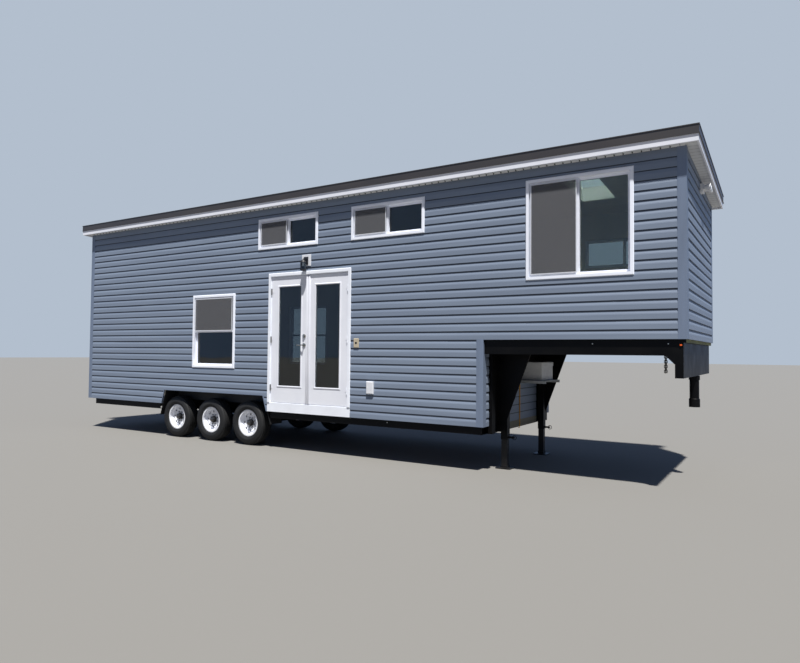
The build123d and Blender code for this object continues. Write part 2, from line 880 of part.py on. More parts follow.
# Chassis: two main I-beams, side channels stopped at the wheels, and cross channels, all welded
def i_beam(x0, x1, y, z0, z1, width, web, flange):
    beam = block(x0, x1, y - web / 2, y + web / 2, z0, z1)
    beam += block(x0, x1, y - width / 2, y + width / 2, z0, z0 + flange)
    beam += block(x0, x1, y - width / 2, y + width / 2, z1 - flange, z1)
    return beam


def channel_along(x0, x1, outer_y, inner_y, z0, z1, plate):
    """A channel along the house with its web at outer_y and its flanges pointing inwards."""
    inward = 1 if inner_y > outer_y else -1
    web = block(x0, x1, outer_y, outer_y + inward * plate, z0, z1)
    web += block(x0, x1, outer_y, inner_y, z0, z0 + plate)
    web += block(x0, x1, outer_y, inner_y, z1 - plate, z1)
    return web


def channel_across(x, half_length, z0, z1, plate):
    """A channel across the house with its web at the rear and its flanges pointing forwards."""
    web = block(x - cross_width / 2, x - cross_width / 2 + plate, -half_length, half_length, z0, z1)
    web += block(x - cross_width / 2, x + cross_width / 2, -half_length, half_length, z0, z0 + plate)
    web += block(x - cross_width / 2, x + cross_width / 2, -half_length, half_length, z1 - plate, z1)
    return web


chassis = channel_across(frame_rear_x + cross_width / 2, deck_y, rail_bottom, floor_bottom, cross_plate)
chassis += channel_across(floor_front_x - cross_width / 2, deck_y, rail_bottom, floor_bottom, cross_plate)
for side in (-1, 1):
    chassis += i_beam(
        frame_rear_x, step_x, side * rail_y, rail_bottom, floor_bottom,
        rail_width, rail_web, rail_flange,
    )
    inner = side * (deck_y - side_channel_width)
    for x0, x1 in ((frame_rear_x, recess_rear_x), (recess_front_x, floor_front_x)):
        chassis += channel_along(x0, x1, side * deck_y, inner, rail_bottom, floor_bottom, side_channel_plate)
save("chassis", chassis)

# Gooseneck: inner beams and edge channels under the loft
panel_front_x = step_x + neck_plate
edge_rear_x = step_x + corner_proud
neck_beams = []
for side in (-1, 1):
    neck_beams.append(i_beam(
        panel_front_x, nose_rear_x, side * neck_y, neck_bottom, neck_top,
        neck_width, rail_web, rail_flange,
    ))
    neck_beams.append(channel_along(
        edge_rear_x, nose_rear_x, side * deck_y, side * (deck_y - edge_channel_width),
        neck_bottom, neck_top, side_channel_plate,
    ))
save("neck_beams", *neck_beams)

# Cross members: light channels under both decks, coped to the beams that they are welded between
cross_members = []
cross_count = int((floor_front_x - frame_rear_x) / cross_pitch)
for i in range(1, cross_count):
    x = frame_rear_x + i * (floor_front_x - frame_rear_x) / cross_count
    beside_wheels = recess_rear_x - cross_width < x < recess_front_x + cross_width
    reach = rail_y if beside_wheels else deck_y
    channel = channel_across(x, reach, floor_bottom - cross_height, floor_bottom, cross_plate)
    cross_members += (channel - chassis).solids()
chain_x = front_x - chain_from_front
neck_cross_x = edge_rear_x + cross_width / 2
for i in range(neck_cross_count):
    x = neck_cross_x + i * (chain_x - neck_cross_x) / (neck_cross_count - 1)
    channel = channel_across(x, deck_y, neck_top - cross_height, neck_top, cross_plate)
    for beam in neck_beams:
        channel -= beam
    cross_members += channel.solids()
save("cross_members", *cross_members)

# Nose: a deep box across the front, open behind, with ribs
nose_bottom = neck_top - nose_depth
nose = block(nose_rear_x, nose_front_x, -deck_y, deck_y, nose_bottom, neck_top)
nose_ribs = [
    nose_plate - deck_y, -neck_y, -sleeve_radius, sleeve_radius + nose_plate, neck_y + nose_plate, deck_y,
]
for y0, y1 in zip(nose_ribs[:-1], nose_ribs[1:]):
    nose -= block(
        nose_rear_x, nose_front_x - nose_plate, y0, y1 - nose_plate,
        nose_bottom + nose_plate, neck_top - nose_plate,
    )
save("nose", nose)

# Panel, uprights and tapered gussets that carry the gooseneck up from the chassis, and the nose's corner plates
panel = block(step_x, panel_front_x, -neck_panel_y, neck_panel_y, rail_bottom, neck_top)
for side in (-1, 1):
    outer = side * (neck_panel_y - upright_from_edge)
    panel += block(
        panel_front_x, panel_front_x + upright_depth, outer, outer - side * upright_width,
        rail_bottom, neck_bottom,
    )
    outline = (
        (panel_front_x, rail_bottom),
        (step_x + gusset_foot_length, rail_bottom),
        (step_x + gusset_foot_length + gusset_toe_length, rail_bottom + gusset_toe_height),
        (step_x + gusset_top_length, neck_bottom),
        (panel_front_x, neck_bottom),
    )
    gusset_y = -neck_y if side < 0 else neck_y - neck_plate
    panel += side_plate(outline, gusset_y, gusset_y + neck_plate)
corner_outline = (
    (nose_rear_x - nose_gusset, neck_bottom),
    (nose_rear_x, neck_bottom - nose_gusset),
    (nose_rear_x, neck_bottom),
)
near_corner_plate = side_plate(corner_outline, -deck_y, side_channel_plate - deck_y)
far_corner_plate = side_plate(corner_outline, deck_y - side_channel_plate, deck_y)
save("neck_panel", panel, near_corner_plate, far_corner_plate)

# Coupler: a sleeve under the nose, a round tube in it, and a head with the socket for the ball
coupler_x = (nose_front_x + nose_rear_x) / 2
coupler = upright_round(coupler_x, 0, nose_bottom - coupler_head_height / 2, nose_bottom, sleeve_radius)
coupler += upright_round(coupler_x, 0, coupler_mouth, nose_bottom, coupler_radius)
head = upright_round(coupler_x, 0, coupler_mouth, coupler_mouth + coupler_head_height, coupler_head_radius)
coupler += chamfer(head.edges().sort_by(Axis.Z)[-1], coupler_head_radius - coupler_radius - 1)
socket_top = coupler_mouth + socket_depth
coupler -= upright_round(coupler_x, 0, coupler_mouth, socket_top, socket_radius)
save("coupler", coupler)


# Safety chains: real links, each turned a quarter from the one above, hung on staples
def chain_link(z, turned):
    """One oval link with its middle at height z."""
    straight = chain_link_inner + chain_wire - (chain_link_width - chain_wire)
    path = SlotOverall(straight + chain_link_width - chain_wire, chain_link_width - chain_wire, rotation=90)
    wire = (Plane.XZ * path).face().outer_wire()
    start = wire.edges().sort_by(Axis.X)[-1]
    section = Plane(start @ 0.5, z_dir=start % 0.5) * Circle(chain_wire / 2)
    link = sweep(section, path=wire)
    return Pos(0, 0, z) * Rot(0, 0, 90 if turned else 0) * link


def chain_staple(y, low):
    """A U of the same wire under the cross member, with its foot through the top link."""
    path = FilletPolyline(
        (chain_x, y - staple_half_width, staple_top),
        (chain_x, y - staple_half_width, low),
        (chain_x, y + staple_half_width, low),
        (chain_x, y + staple_half_width, staple_top),
        radius=staple_half_width * 0.75,
    )
    return sweep(Plane(path @ 0, z_dir=path % 0) * Circle(chain_wire / 2), path=path)


chains = []
link_pitch = chain_link_inner - chain_play
staple_top = neck_top - cross_height
for side in (-1, 1):
    y = side * chain_spacing / 2
    first_z = staple_top - chain_play - chain_wire - chain_link_inner / 2
    chains.append(chain_staple(y, first_z + chain_link_inner / 2 - chain_wire / 2 - chain_play))
    for i in range(chain_link_count):
        link = chain_link(first_z - i * link_pitch, i % 2 == 1)
        chains.append(Pos(chain_x, y, 0) * link)
save("safety_chains", *chains)

# Landing legs: square tubes on the gussets, each with a pull pin, and a drop leg that slides in it
leg_x = step_x + leg_from_step
bore_half = leg_size / 2 + leg_clearance
tube_half = bore_half + leg_tube_wall
leg_y = neck_y - neck_plate - tube_half
leg_tube_bottom = rail_bottom - leg_tube_drop
leg_tube_top = rail_bottom + leg_tube_reach
leg_tubes = []
for side in (-1, 1):
    y = side * leg_y
    tube = block(
        leg_x - tube_half, leg_x + tube_half, y - tube_half, y + tube_half, leg_tube_bottom, leg_tube_top,
    )
    tube -= block(
        leg_x - bore_half, leg_x + bore_half, y - bore_half, y + bore_half,
        leg_tube_bottom, leg_tube_top - leg_tube_wall,
    )
    pin_z = leg_tube_bottom + leg_ring_radius
    pin = Rot(0, 90, 0) * Cylinder(leg_pin_radius, leg_pin_length)
    tube += Pos(leg_x + tube_half + leg_pin_length / 2, y, pin_z) * pin
    ring_x = leg_x + tube_half + leg_pin_length
    tube += Pos(ring_x, y, pin_z) * Rot(90, 0, 0) * Torus(leg_ring_radius, leg_ring_wire)
    leg_tubes.append(tube)
save("leg_tubes", *leg_tubes)


def drop_leg(side):
    """The inner leg with its row of pin holes, a collar and a square foot on the ground."""
    y = side * leg_y
    half = leg_size / 2
    leg_top = leg_tube_bottom + leg_overlap
    leg = block(leg_x - half, leg_x + half, y - half, y + half, foot_thickness, leg_top)
    for i in range(leg_hole_count):
        z = foot_thickness + foot_collar + (i + 1) * leg_hole_pitch
        leg -= Pos(leg_x, y, z) * Rot(0, 90, 0) * Cylinder(leg_hole_radius, leg_size)
    foot = block(
        leg_x - foot_size / 2, leg_x + foot_size / 2, y - foot_size / 2, y + foot_size / 2,
        0, foot_thickness,
    )
    leg += fillet(foot.edges().filter_by(Axis.Z), foot_size / 8)
    collar_half = half + leg_tube_wall
    leg += block(
        leg_x - collar_half, leg_x + collar_half, y - collar_half, y + collar_half,
        foot_thickness, foot_thickness + foot_collar,
    )
    return leg


save("near_leg", drop_leg(-1))
save("far_leg", drop_leg(1))

# Battery shelf on two bars from the panel, the battery box on it, and the strap that ties the shelf down
shelf_z = neck_bottom - shelf_from_beam
shelf_rear = panel_front_x
shelf = block(
    shelf_rear, shelf_rear + shelf_length, -shelf_width / 2, shelf_width / 2,
    shelf_z - shelf_plate, shelf_z,
)
for side in (-1, 1):
    bar_y = side * shelf_width / 2
    shelf += block(
        shelf_rear, shelf_rear + shelf_length, bar_y, bar_y - side * shelf_bar_width,
        shelf_z - shelf_bar_height, shelf_z,
    )
save("battery_shelf", shelf)
battery_x0 = shelf_rear + battery_from_panel
lid_z = shelf_z + battery_height - battery_lid_height
battery = block(
    battery_x0, battery_x0 + battery_length, -battery_width / 2, battery_width / 2, shelf_z, lid_z,
)
lid = block(
    battery_x0 - battery_lid_proud, battery_x0 + battery_length + battery_lid_proud,
    -battery_width / 2 - battery_lid_proud, battery_width / 2 + battery_lid_proud,
    lid_z, shelf_z + battery_height,
)
battery = fillet(battery.edges().filter_by(Axis.Z), battery_lid_proud)
lid = fillet(lid.edges().filter_by(Axis.Z), 2 * battery_lid_proud)
battery += chamfer(lid.faces().sort_by(Axis.Z)[-1].edges(), battery_lid_proud)
save("battery_box", battery)
hook_bend = (neck_plate + strap_thickness) / 2 + hook_wire + hook_clearance
hook_x = panel_front_x + hook_bend - neck_plate / 2
strap_foot = rail_bottom - hook_clearance
strap = block(
    hook_x - strap_thickness / 2, hook_x + strap_thickness / 2,
    strap_y - strap_width / 2, strap_y + strap_width / 2,
    strap_foot + hook_wire, shelf_z - shelf_plate,
)
hook_path = FilletPolyline(
    (hook_x, strap_y, strap_foot + hook_wire),
    (hook_x, strap_y, strap_foot - hook_bend),
    (hook_x - 2 * hook_bend, strap_y, strap_foot - hook_bend),
    (hook_x - 2 * hook_bend, strap_y, strap_foot + hook_rise),
    radius=hook_bend * 0.9,
)
hook = sweep(Plane(hook_path @ 0, z_dir=hook_path % 0) * Circle(hook_wire), path=hook_path)
save("tie_strap", strap + hook)


# Axles: a tube between the springs, a spindle at each end and the fixed backing plates
axle_xs = [front_x - axle_from_front + (i - 1) * axle_spacing for i in range(3)]
wheel_y = house_width / 2 - tyre_inset - tyre_width / 2
drum_inner_y = wheel_y - drum_depth
backing_outer_y = drum_inner_y - backing_gap
spindle_end_y = wheel_y + hub_proud - cap_height - spindle_end_gap
axles = []
for x in axle_xs:
    axle = cross_round(x, -backing_outer_y, backing_outer_y, tyre_radius, axle_radius)
    axle += cross_round(x, -spindle_end_y, spindle_end_y, tyre_radius, spindle_radius)
    for side in (-1, 1):
        axle += cross_round(
            x, side * (backing_outer_y - backing_thickness), side * backing_outer_y, tyre_radius, drum_radius,
        )
    axles.append(axle)
save("axles", *axles)

# Leaf springs: four leaves that get shorter downwards, rolled eyes, and the clamp over each axle
spring_base = tyre_radius + axle_radius
stack_top = spring_base + leaf_count * leaf_plate
main_leaf_z = stack_top - leaf_plate / 2
eye_z = main_leaf_z + spring_camber
leaf_arc = (spring_half ** 2 + spring_camber ** 2) / (2 * spring_camber)


def leaf_arc_height(radius, reach):
    """How far an arc of that radius, low in the middle, rises at a distance from its middle."""
    return radius - sqrt(radius ** 2 - reach ** 2)


def spring_leaf(x, y, index):
    """One leaf as a curved strip. The main leaf is index 0, on top."""
    reach = spring_half - index * leaf_step
    inner = leaf_arc - leaf_plate / 2 + index * leaf_plate
    outer = inner + leaf_plate
    top = stack_top - index * leaf_plate
    low = top - leaf_plate
    upper_end = top + leaf_arc_height(inner, reach)
    lower_end = low + leaf_arc_height(outer, reach)
    outline = ThreePointArc((x - reach, upper_end), (x, top), (x + reach, upper_end))
    outline += Line((x + reach, upper_end), (x + reach, lower_end))
    outline += ThreePointArc((x + reach, lower_end), (x, low), (x - reach, lower_end))
    outline += Line((x - reach, lower_end), (x - reach, upper_end))
    face = Plane.XZ.offset(-(y + spring_width / 2)) * make_face(outline)
    return extrude(face, amount=spring_width, dir=(0, -1, 0))


clamp_plate = 10
clamp_half = axle_radius + 22
clamp_bolt = 7


def leaf_spring(x, y):
    spring = spring_leaf(x, y, 0)
    for index in range(1, leaf_count):
        spring += spring_leaf(x, y, index)
    for end in (-1, 1):
        eye_x = x + end * spring_half
        spring += cross_round(eye_x, y - spring_width / 2, y + spring_width / 2, eye_z, eye_radius)
        spring -= cross_round(eye_x, y - spring_width / 2, y + spring_width / 2, eye_z, eye_bore)
    clamp_y = spring_width / 2 + 2 * clamp_bolt
    spring += block(
        x - clamp_half, x + clamp_half, y - clamp_y, y + clamp_y, stack_top, stack_top + clamp_plate,
    )
    axle_low = tyre_radius - axle_radius - 1
    spring += block(
        x - clamp_half, x + clamp_half, y - clamp_y, y + clamp_y, axle_low - clamp_plate, axle_low,
    )
    for x_way in (-1, 1):
        for y_way in (-1, 1):
            spring += upright_round(
                x + x_way * (clamp_half - clamp_bolt - 2), y + y_way * (clamp_y - clamp_bolt),
                axle_low - clamp_plate, stack_top + clamp_plate, clamp_bolt,
            )
    return spring


save("leaf_springs", *[leaf_spring(x, side * rail_y) for side in (-1, 1) for x in axle_xs])

# Hangers under the rails, and the rocking equalisers that join neighbouring springs
pivot_z = rail_bottom - pivot_drop
equaliser_half = axle_spacing / 2 - spring_half
inner_cheek = spring_width / 2 + hanger_gap


def hanger_pin(x, y, z, half_width):
    return cross_round(x, y - half_width, y + half_width, z, eye_bore - pin_clearance)


def end_hanger(x, y, way):
    """Two cheeks down from the rail to the spring's outer eye, joined by its bolt."""
    half = inner_cheek + hanger_plate
    outline = (
        (x - 2 * eye_radius, rail_bottom),
        (x - eye_radius, eye_z - eye_radius),
        (x + eye_radius, eye_z - eye_radius),
        (x + 2 * eye_radius, rail_bottom),
    )
    hanger = side_plate(outline, y - half, y - inner_cheek)
    hanger += side_plate(outline, y + inner_cheek, y + half)
    return hanger + hanger_pin(x, y, eye_z, half)


def equaliser(x, y):
    """Two bent arms on a bolt under the rail, with an eye of each neighbouring spring at each end."""
    half = inner_cheek + hanger_plate
    outline = (
        (x - equaliser_half - eye_radius, eye_z - eye_radius),
        (x - equaliser_half + eye_radius, eye_z - eye_radius),
        (x, pivot_z - eye_radius),
        (x + equaliser_half - eye_radius, eye_z - eye_radius),
        (x + equaliser_half + eye_radius, eye_z - eye_radius),
        (x + equaliser_half + eye_radius, eye_z),
        (x + eye_radius, pivot_z + eye_radius),
        (x - eye_radius, pivot_z + eye_radius),
        (x - equaliser_half - eye_radius, eye_z),
    )
    arms = side_plate(outline, y - half, y - inner_cheek)
    arms += side_plate(outline, y + inner_cheek, y + half)
    for way in (-1, 1):
        arms += hanger_pin(x + way * equaliser_half, y, eye_z, half)
    bracket_half = half + hanger_plate
    for y0 in (y - bracket_half, y + half):
        arms += block(x - eye_radius, x + eye_radius, y0, y0 + hanger_plate, pivot_z - eye_radius, rail_bottom)
    return arms + hanger_pin(x, y, pivot_z, bracket_half)


hangers = []
for side in (-1, 1):
    hangers.append(end_hanger(axle_xs[0] - spring_half, side * rail_y, -1))
    hangers.append(end_hanger(axle_xs[2] + spring_half, side * rail_y, 1))
    for x in axle_xs[:2]:
        hangers.append(equaliser(x + axle_spacing / 2, side * rail_y))
save("spring_hangers", *hangers)

# Wheel wells: black liner plates over the wheels, closed towards the room and hanging below the wall
liners = []
side_lean = arch_lean * (arch_top - floor_bottom) / (arch_top - arch_foot)
for side in (-1, 1):
    y0, y1 = sorted((side * deck_y, side * (well_inner_y + floor_seam)))
    for top_x, way in ((arch_rear_x, -1), (arch_front_x, 1)):
        inside_x = top_x - way * liner_thickness
        leaning_plate = (
            (top_x + way * arch_lean, arch_foot), (inside_x + way * arch_lean, arch_foot),
            (inside_x, arch_top - liner_thickness), (inside_x, arch_top), (top_x, arch_top),
        )
        liners.append(side_plate(leaning_plate, y0, y1))
    top_inset = liner_thickness + floor_seam
    liners.append(block(
        arch_rear_x + top_inset, arch_front_x - top_inset, y0, y1, arch_top - liner_thickness, arch_top,
    ))
    room_side_plate = (
        (arch_rear_x, arch_top), (arch_front_x, arch_top),
        (arch_front_x + side_lean, floor_bottom), (arch_rear_x - side_lean, floor_bottom),
    )
    y2, y3 = sorted((side * well_inner_y, side * (well_inner_y - liner_thickness)))
    liners.append(side_plate(room_side_plate, y2, y3))
save("wheel_liners", *liners)


# Wheels: a tyre with three grooves on a welded rim, its hub and brake drum turning on the spindle
def tyre():
    """The tyre's section, turned about an axle line along Z, with its outer side up."""
    shoulder = tyre_radius - shoulder_drop
    widest = (tyre_radius + rim_radius) / 2
    tread_half = tread_width / 2
    shoulder_half = tread_half + shoulder_side
    side_half = tyre_width / 2
    outline = Polyline((bead_radius, -bead_half), (bead_radius, bead_half), (rim_radius, bead_half))
    outline += ThreePointArc((rim_radius, bead_half), (widest, side_half), (shoulder, shoulder_half))
    outline += Line((shoulder, shoulder_half), (tyre_radius, tread_half))
    outline += Line((tyre_radius, tread_half), (tyre_radius, -tread_half))
    outline += Line((tyre_radius, -tread_half), (shoulder, -shoulder_half))
    outline += ThreePointArc((shoulder, -shoulder_half), (widest, -side_half), (rim_radius, -bead_half))
    outline += Line((rim_radius, -bead_half), (bead_radius, -bead_half))
    shape = revolve(Plane.XZ * make_face(outline), Axis.Z)
    for offset in (-tread_half / 2, 0, tread_half / 2):
        groove = Cylinder(tyre_radius + groove_depth, groove_width)
        groove -= Cylinder(tyre_radius - groove_depth, groove_width)
        shape -= Pos(0, 0, offset) * groove
    return shape


def turned(*points):
    """A solid turned about the axle line from its section, given as radius and height."""
    return revolve(Plane.XZ * Polygon(*points, align=None), Axis.Z)


def rim():
    """Barrel, dished disc with eight round hand holes, eight lug nuts, and the hub with its drum and cap."""
    lip = bead_half + rim_wall
    seat = bead_radius - rim_wall
    well = well_radius - rim_wall
    half = bead_half / 2
    quarter = bead_half / 4
    barrel = turned(
        (rim_radius, lip), (rim_radius, bead_half), (bead_radius, bead_half), (bead_radius, half),
        (well_radius, quarter), (well_radius, -quarter), (bead_radius, -half),
        (bead_radius, -bead_half), (rim_radius, -bead_half), (rim_radius, -lip), (seat, -lip),
        (seat, -half), (well, -quarter), (well, quarter), (seat, half), (seat, lip),
    )
    bore = spindle_radius + running_clearance
    lug_ring = lug_circle + 2 * lug_radius
    cap_foot = hub_proud - cap_height
    disc = turned(
        (bore, 0), (lug_ring, 0), (hand_hole_circle, disc_crown), (well, disc_edge_rise),
        (well, disc_edge_rise + rim_wall), (hand_hole_circle, disc_crown + rim_wall),
        (lug_ring, disc_boss), (hub_radius, disc_boss), (hub_radius, cap_foot),
        (cap_radius, hub_proud - cap_height / 2), (cap_radius, hub_proud + cap_height / 2),
        (cap_radius / 2, hub_proud + cap_height), (0, hub_proud + cap_height), (0, cap_foot), (bore, cap_foot),
    )
    for i in range(lug_count):
        turn = Rot(0, 0, i * 360 / lug_count)
        half_turn = Rot(0, 0, (i + 0.5) * 360 / lug_count)
        disc -= turn * Pos(hand_hole_circle, 0, 0) * Cylinder(hand_hole_radius, 4 * bead_half)
        disc += half_turn * Pos(lug_circle, 0, rim_wall + lug_height / 2) * Cylinder(lug_radius, lug_height)
    drum_inner = drum_web - drum_depth
    drum = turned(
        (bore, 0), (bore, drum_inner), (hub_radius, drum_inner), (hub_radius, -drum_gap),
        (drum_radius - drum_wall, -drum_gap), (drum_radius - drum_wall, -drum_depth),
        (drum_radius, -drum_depth), (drum_radius, 0),
    )
    return barrel + disc + drum


tyre_shape = tyre()
rim_shape = rim()
for side, name in ((-1, "near"), (1, "far")):
    for x, place in zip(axle_xs, ("rear", "middle", "front")):
        seat = Pos(x, side * wheel_y, tyre_radius) * Rot(-side * 90, 0, 0)
        save(f"{name}_{place}_tyre", seat * tyre_shape)
        save(f"{name}_{place}_rim", seat * rim_shape)
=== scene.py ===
import math

import bmesh
import bpy
from mathutils import Matrix, Vector


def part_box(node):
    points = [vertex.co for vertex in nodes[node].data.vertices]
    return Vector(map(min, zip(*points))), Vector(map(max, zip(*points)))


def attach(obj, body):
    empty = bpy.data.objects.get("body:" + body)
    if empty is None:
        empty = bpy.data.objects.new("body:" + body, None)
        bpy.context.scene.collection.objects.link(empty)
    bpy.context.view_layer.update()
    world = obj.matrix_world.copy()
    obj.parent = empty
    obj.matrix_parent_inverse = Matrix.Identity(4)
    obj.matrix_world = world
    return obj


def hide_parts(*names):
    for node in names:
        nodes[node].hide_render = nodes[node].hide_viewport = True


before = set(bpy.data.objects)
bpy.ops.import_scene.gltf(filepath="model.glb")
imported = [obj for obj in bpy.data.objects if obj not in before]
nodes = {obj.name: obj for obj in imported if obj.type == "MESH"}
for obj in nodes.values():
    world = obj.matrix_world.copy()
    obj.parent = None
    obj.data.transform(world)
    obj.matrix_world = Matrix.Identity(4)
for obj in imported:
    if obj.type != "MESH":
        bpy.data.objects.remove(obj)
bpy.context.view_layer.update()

collection = bpy.context.scene.collection


# Steel frame. Hot-rolled beams and channels are welded into a ladder under the main room, with a
# deep nose and two gooseneck beams under the loft, and sprayed with a gloss black chassis paint.
MM = 0.001
CHASSIS_GLOSS = 0.12
GLOSS_DRIFT = (0.75, 1.3)


def linear(hex_colour):
    """An sRGB hex colour as the linear values that a shader socket takes."""
    channels = [int(hex_colour[i:i + 2], 16) / 255 for i in (1, 3, 5)]
    return [c / 12.92 if c <= 0.04045 else ((c + 0.055) / 1.055) ** 2.4 for c in channels] + [1.0]


def add_node(tree, kind, links=(), **settings):
    """Adds a node with its settings by name; a link from a node takes that node's first output."""
    node = tree.nodes.new(kind)
    for name, value in settings.items():
        if hasattr(node, name):
            setattr(node, name, value)
        else:
            node.inputs[name.replace("_", " ")].default_value = value
    for target, source in links:
        tree.links.new(getattr(source, "outputs", (source,))[0], node.inputs[target])
    return node


def start_material(name, **surface):
    """A new material with its Principled shader and Object coordinates, ready for a pattern."""
    material = bpy.data.materials.new(name)
    material.use_nodes = True
    tree = material.node_tree
    shader = tree.nodes["Principled BSDF"]
    for socket, value in surface.items():
        shader.inputs[socket.replace("_", " ")].default_value = value
    place = add_node(tree, "ShaderNodeTexCoord").outputs["Object"]
    return material, tree, shader, place


def patches(tree, place, scale, detail, stretch=(1, 1, 1)):
    """Soft noise in patches of a given size, drawn out along an axis if asked."""
    mapping = add_node(tree, "ShaderNodeMapping", [("Vector", place)], Scale=stretch)
    return add_node(tree, "ShaderNodeTexNoise", [("Vector", mapping)], Scale=scale, Detail=detail)


def mottle(tree, place, shader, scale, colour_a, colour_b, stretch=(1, 1, 1), low=0.35, high=0.65):
    """Lets the base colour drift between two paints in patches of a given size."""
    noise = patches(tree, place, scale, 4.0, stretch)
    ramp = add_node(tree, "ShaderNodeValToRGB", [("Fac", noise)])
    for element, position, colour in zip(ramp.color_ramp.elements, (low, high), (colour_a, colour_b)):
        element.position = position
        element.color = linear(colour)
    tree.links.new(ramp.outputs["Color"], shader.inputs["Base Color"])
    return noise, ramp


def bump(tree, shader, height, strength, distance):
    """Turns a grey pattern into relief of a real depth."""
    relief = add_node(tree, "ShaderNodeBump", [("Height", height)], Strength=strength, Distance=distance)
    tree.links.new(relief.outputs["Normal"], shader.inputs["Normal"])


def finish(name, colour, drift, roughness, scale, metallic=0.0, grain=0.0, depth=0.2 * MM, gloss_level=0.5):
    """A finish whose tone and gloss drift in patches, with a fine grain in relief if asked."""
    material, tree, shader, place = start_material(name, Metallic=metallic, Specular_IOR_Level=gloss_level)
    noise, _ = mottle(tree, place, shader, scale, colour, drift, low=0.4, high=0.85)
    smoothest, dullest = [min(1.0, roughness * share) for share in GLOSS_DRIFT]
    gloss = add_node(tree, "ShaderNodeMapRange", [("Value", noise)], To_Min=smoothest, To_Max=dullest)
    tree.links.new(gloss.outputs["Result"], shader.inputs["Roughness"])
    if grain:
        bump(tree, shader, patches(tree, place, grain, detail=2.0), 0.3, depth)
    return material


def paint_nodes(material, *names):
    """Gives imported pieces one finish."""
    for name in names:
        slots = nodes[name].data.materials
        slots.clear()
        slots.append(material)


chassis_black = finish(
    "black_chassis_enamel", "#060607", "#0F0E0E", 0.45, 4.0, grain=260.0, gloss_level=CHASSIS_GLOSS,
)
paint_nodes(
    chassis_black, "chassis", "cross_members", "neck_beams", "neck_panel", "nose", "coupler",
    "leg_tubes", "axles", "leaf_springs", "spring_hangers",
)


# Running gear. Six black radial trailer tyres run on gloss white steel rims with black hubs; the
# axles, leaf springs and hangers between them are sprayed black with the frame.
TREAD_HEIGHT = 9 * MM
TREAD_WIDTH = 172 * MM
MIDDLE_RIB = 24 * MM
TREAD_GROOVE = 7 * MM
SHOULDER_DROP = 9 * MM
PITCHES = 68
SIPE = 2.2 * MM
SIDEWALL_HALF = (
    (0.222, 0.080), (0.229, 0.097), (0.246, 0.107), (0.262, 0.1105), (0.266, 0.1125), (0.284, 0.1125),
    (0.288, 0.1105), (0.305, 0.109), (0.322, 0.104), (0.336, 0.097), (0.346, 0.087), (0.351, 0.070),
)
NUT_RING = (69 * MM, 96 * MM)
BOSS_DEPTH = 9.5 * MM
CAP_RADIUS = 39 * MM
CAP_FOOT = 37 * MM
DRUM_RADIUS = 156 * MM
DRUM_BACK = 11 * MM
HOLE_CIRCLE = 138 * MM
HOLE_RADIUS = 17.5 * MM


def copies_group():
    """Geometry Nodes that lay copies of one small piece by an even step and turn, as real mesh."""
    tree = bpy.data.node_groups.new("even_copies", "GeometryNodeTree")
    for socket, kind in (
        ("Piece", "Geometry"), ("Copies", "Int"), ("Step", "Vector"), ("Turn", "Vector"),
        ("Centre", "Vector"), ("Finish", "Material"),
    ):
        tree.interface.new_socket(socket, in_out="INPUT", socket_type="NodeSocket" + kind)
    tree.interface.new_socket("Laid", in_out="OUTPUT", socket_type="NodeSocketGeometry")
    start = add_node(tree, "NodeGroupInput")
    index = add_node(tree, "GeometryNodeInputIndex")
    step, turn = [
        add_node(tree, "ShaderNodeVectorMath", [(0, start.outputs[way]), ("Scale", index)], operation="SCALE")
        for way in ("Step", "Turn")
    ]
    points = add_node(tree, "GeometryNodePoints", [("Count", start.outputs["Copies"]), ("Position", step)])
    laid = add_node(tree, "GeometryNodeInstanceOnPoints", [
        ("Points", points), ("Instance", start.outputs["Piece"]), ("Rotation", turn),
    ])
    real = add_node(tree, "GeometryNodeRealizeInstances", [("Geometry", laid)])
    moved = add_node(tree, "GeometryNodeTransform", [
        ("Geometry", real), ("Translation", start.outputs["Centre"]),
    ])
    painted = add_node(tree, "GeometryNodeSetMaterial", [
        ("Geometry", moved), ("Material", start.outputs["Finish"]),
    ])
    add_node(tree, "NodeGroupOutput", [("Laid", painted)])
    return tree


even_copies = copies_group()


def finish_piece(name, mesh, material, body="house", stands_for=(), smooth=None, copies=None):
    """Makes a mesh an object with a finish that rides on a body, laid out in copies if asked."""
    bmesh.ops.recalc_face_normals(mesh, faces=mesh.faces)
    data = bpy.data.meshes.new(name)
    mesh.to_mesh(data)
    mesh.free()
    piece = bpy.data.objects.new(name, data)
    collection.objects.link(piece)
    if copies:
        layout = piece.modifiers.new("copies", "NODES")
        layout.node_group = even_copies
        values = {**copies, "Finish": material}
        for socket in even_copies.interface.items_tree:
            if socket.in_out == "INPUT" and socket.name in values:
                layout[socket.identifier] = values[socket.name]
        data = bpy.data.meshes.new_from_object(piece.evaluated_get(bpy.context.evaluated_depsgraph_get()))
        piece.modifiers.remove(layout)
        piece.data = data
    else:
        data.materials.append(material)
    if smooth:
        data.shade_smooth()
        data.set_sharp_from_angle(angle=math.radians(smooth))
    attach(piece, body)
    if stands_for:
        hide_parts(*stands_for)


def paint_regions(node, materials, choose):
    """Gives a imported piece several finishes; choose takes a face's middle and normal."""
    data = nodes[node].data
    data.materials.clear()
    for material in materials:
        data.materials.append(material)
    for face in data.polygons:
        face.material_index = choose(face.center, face.normal)


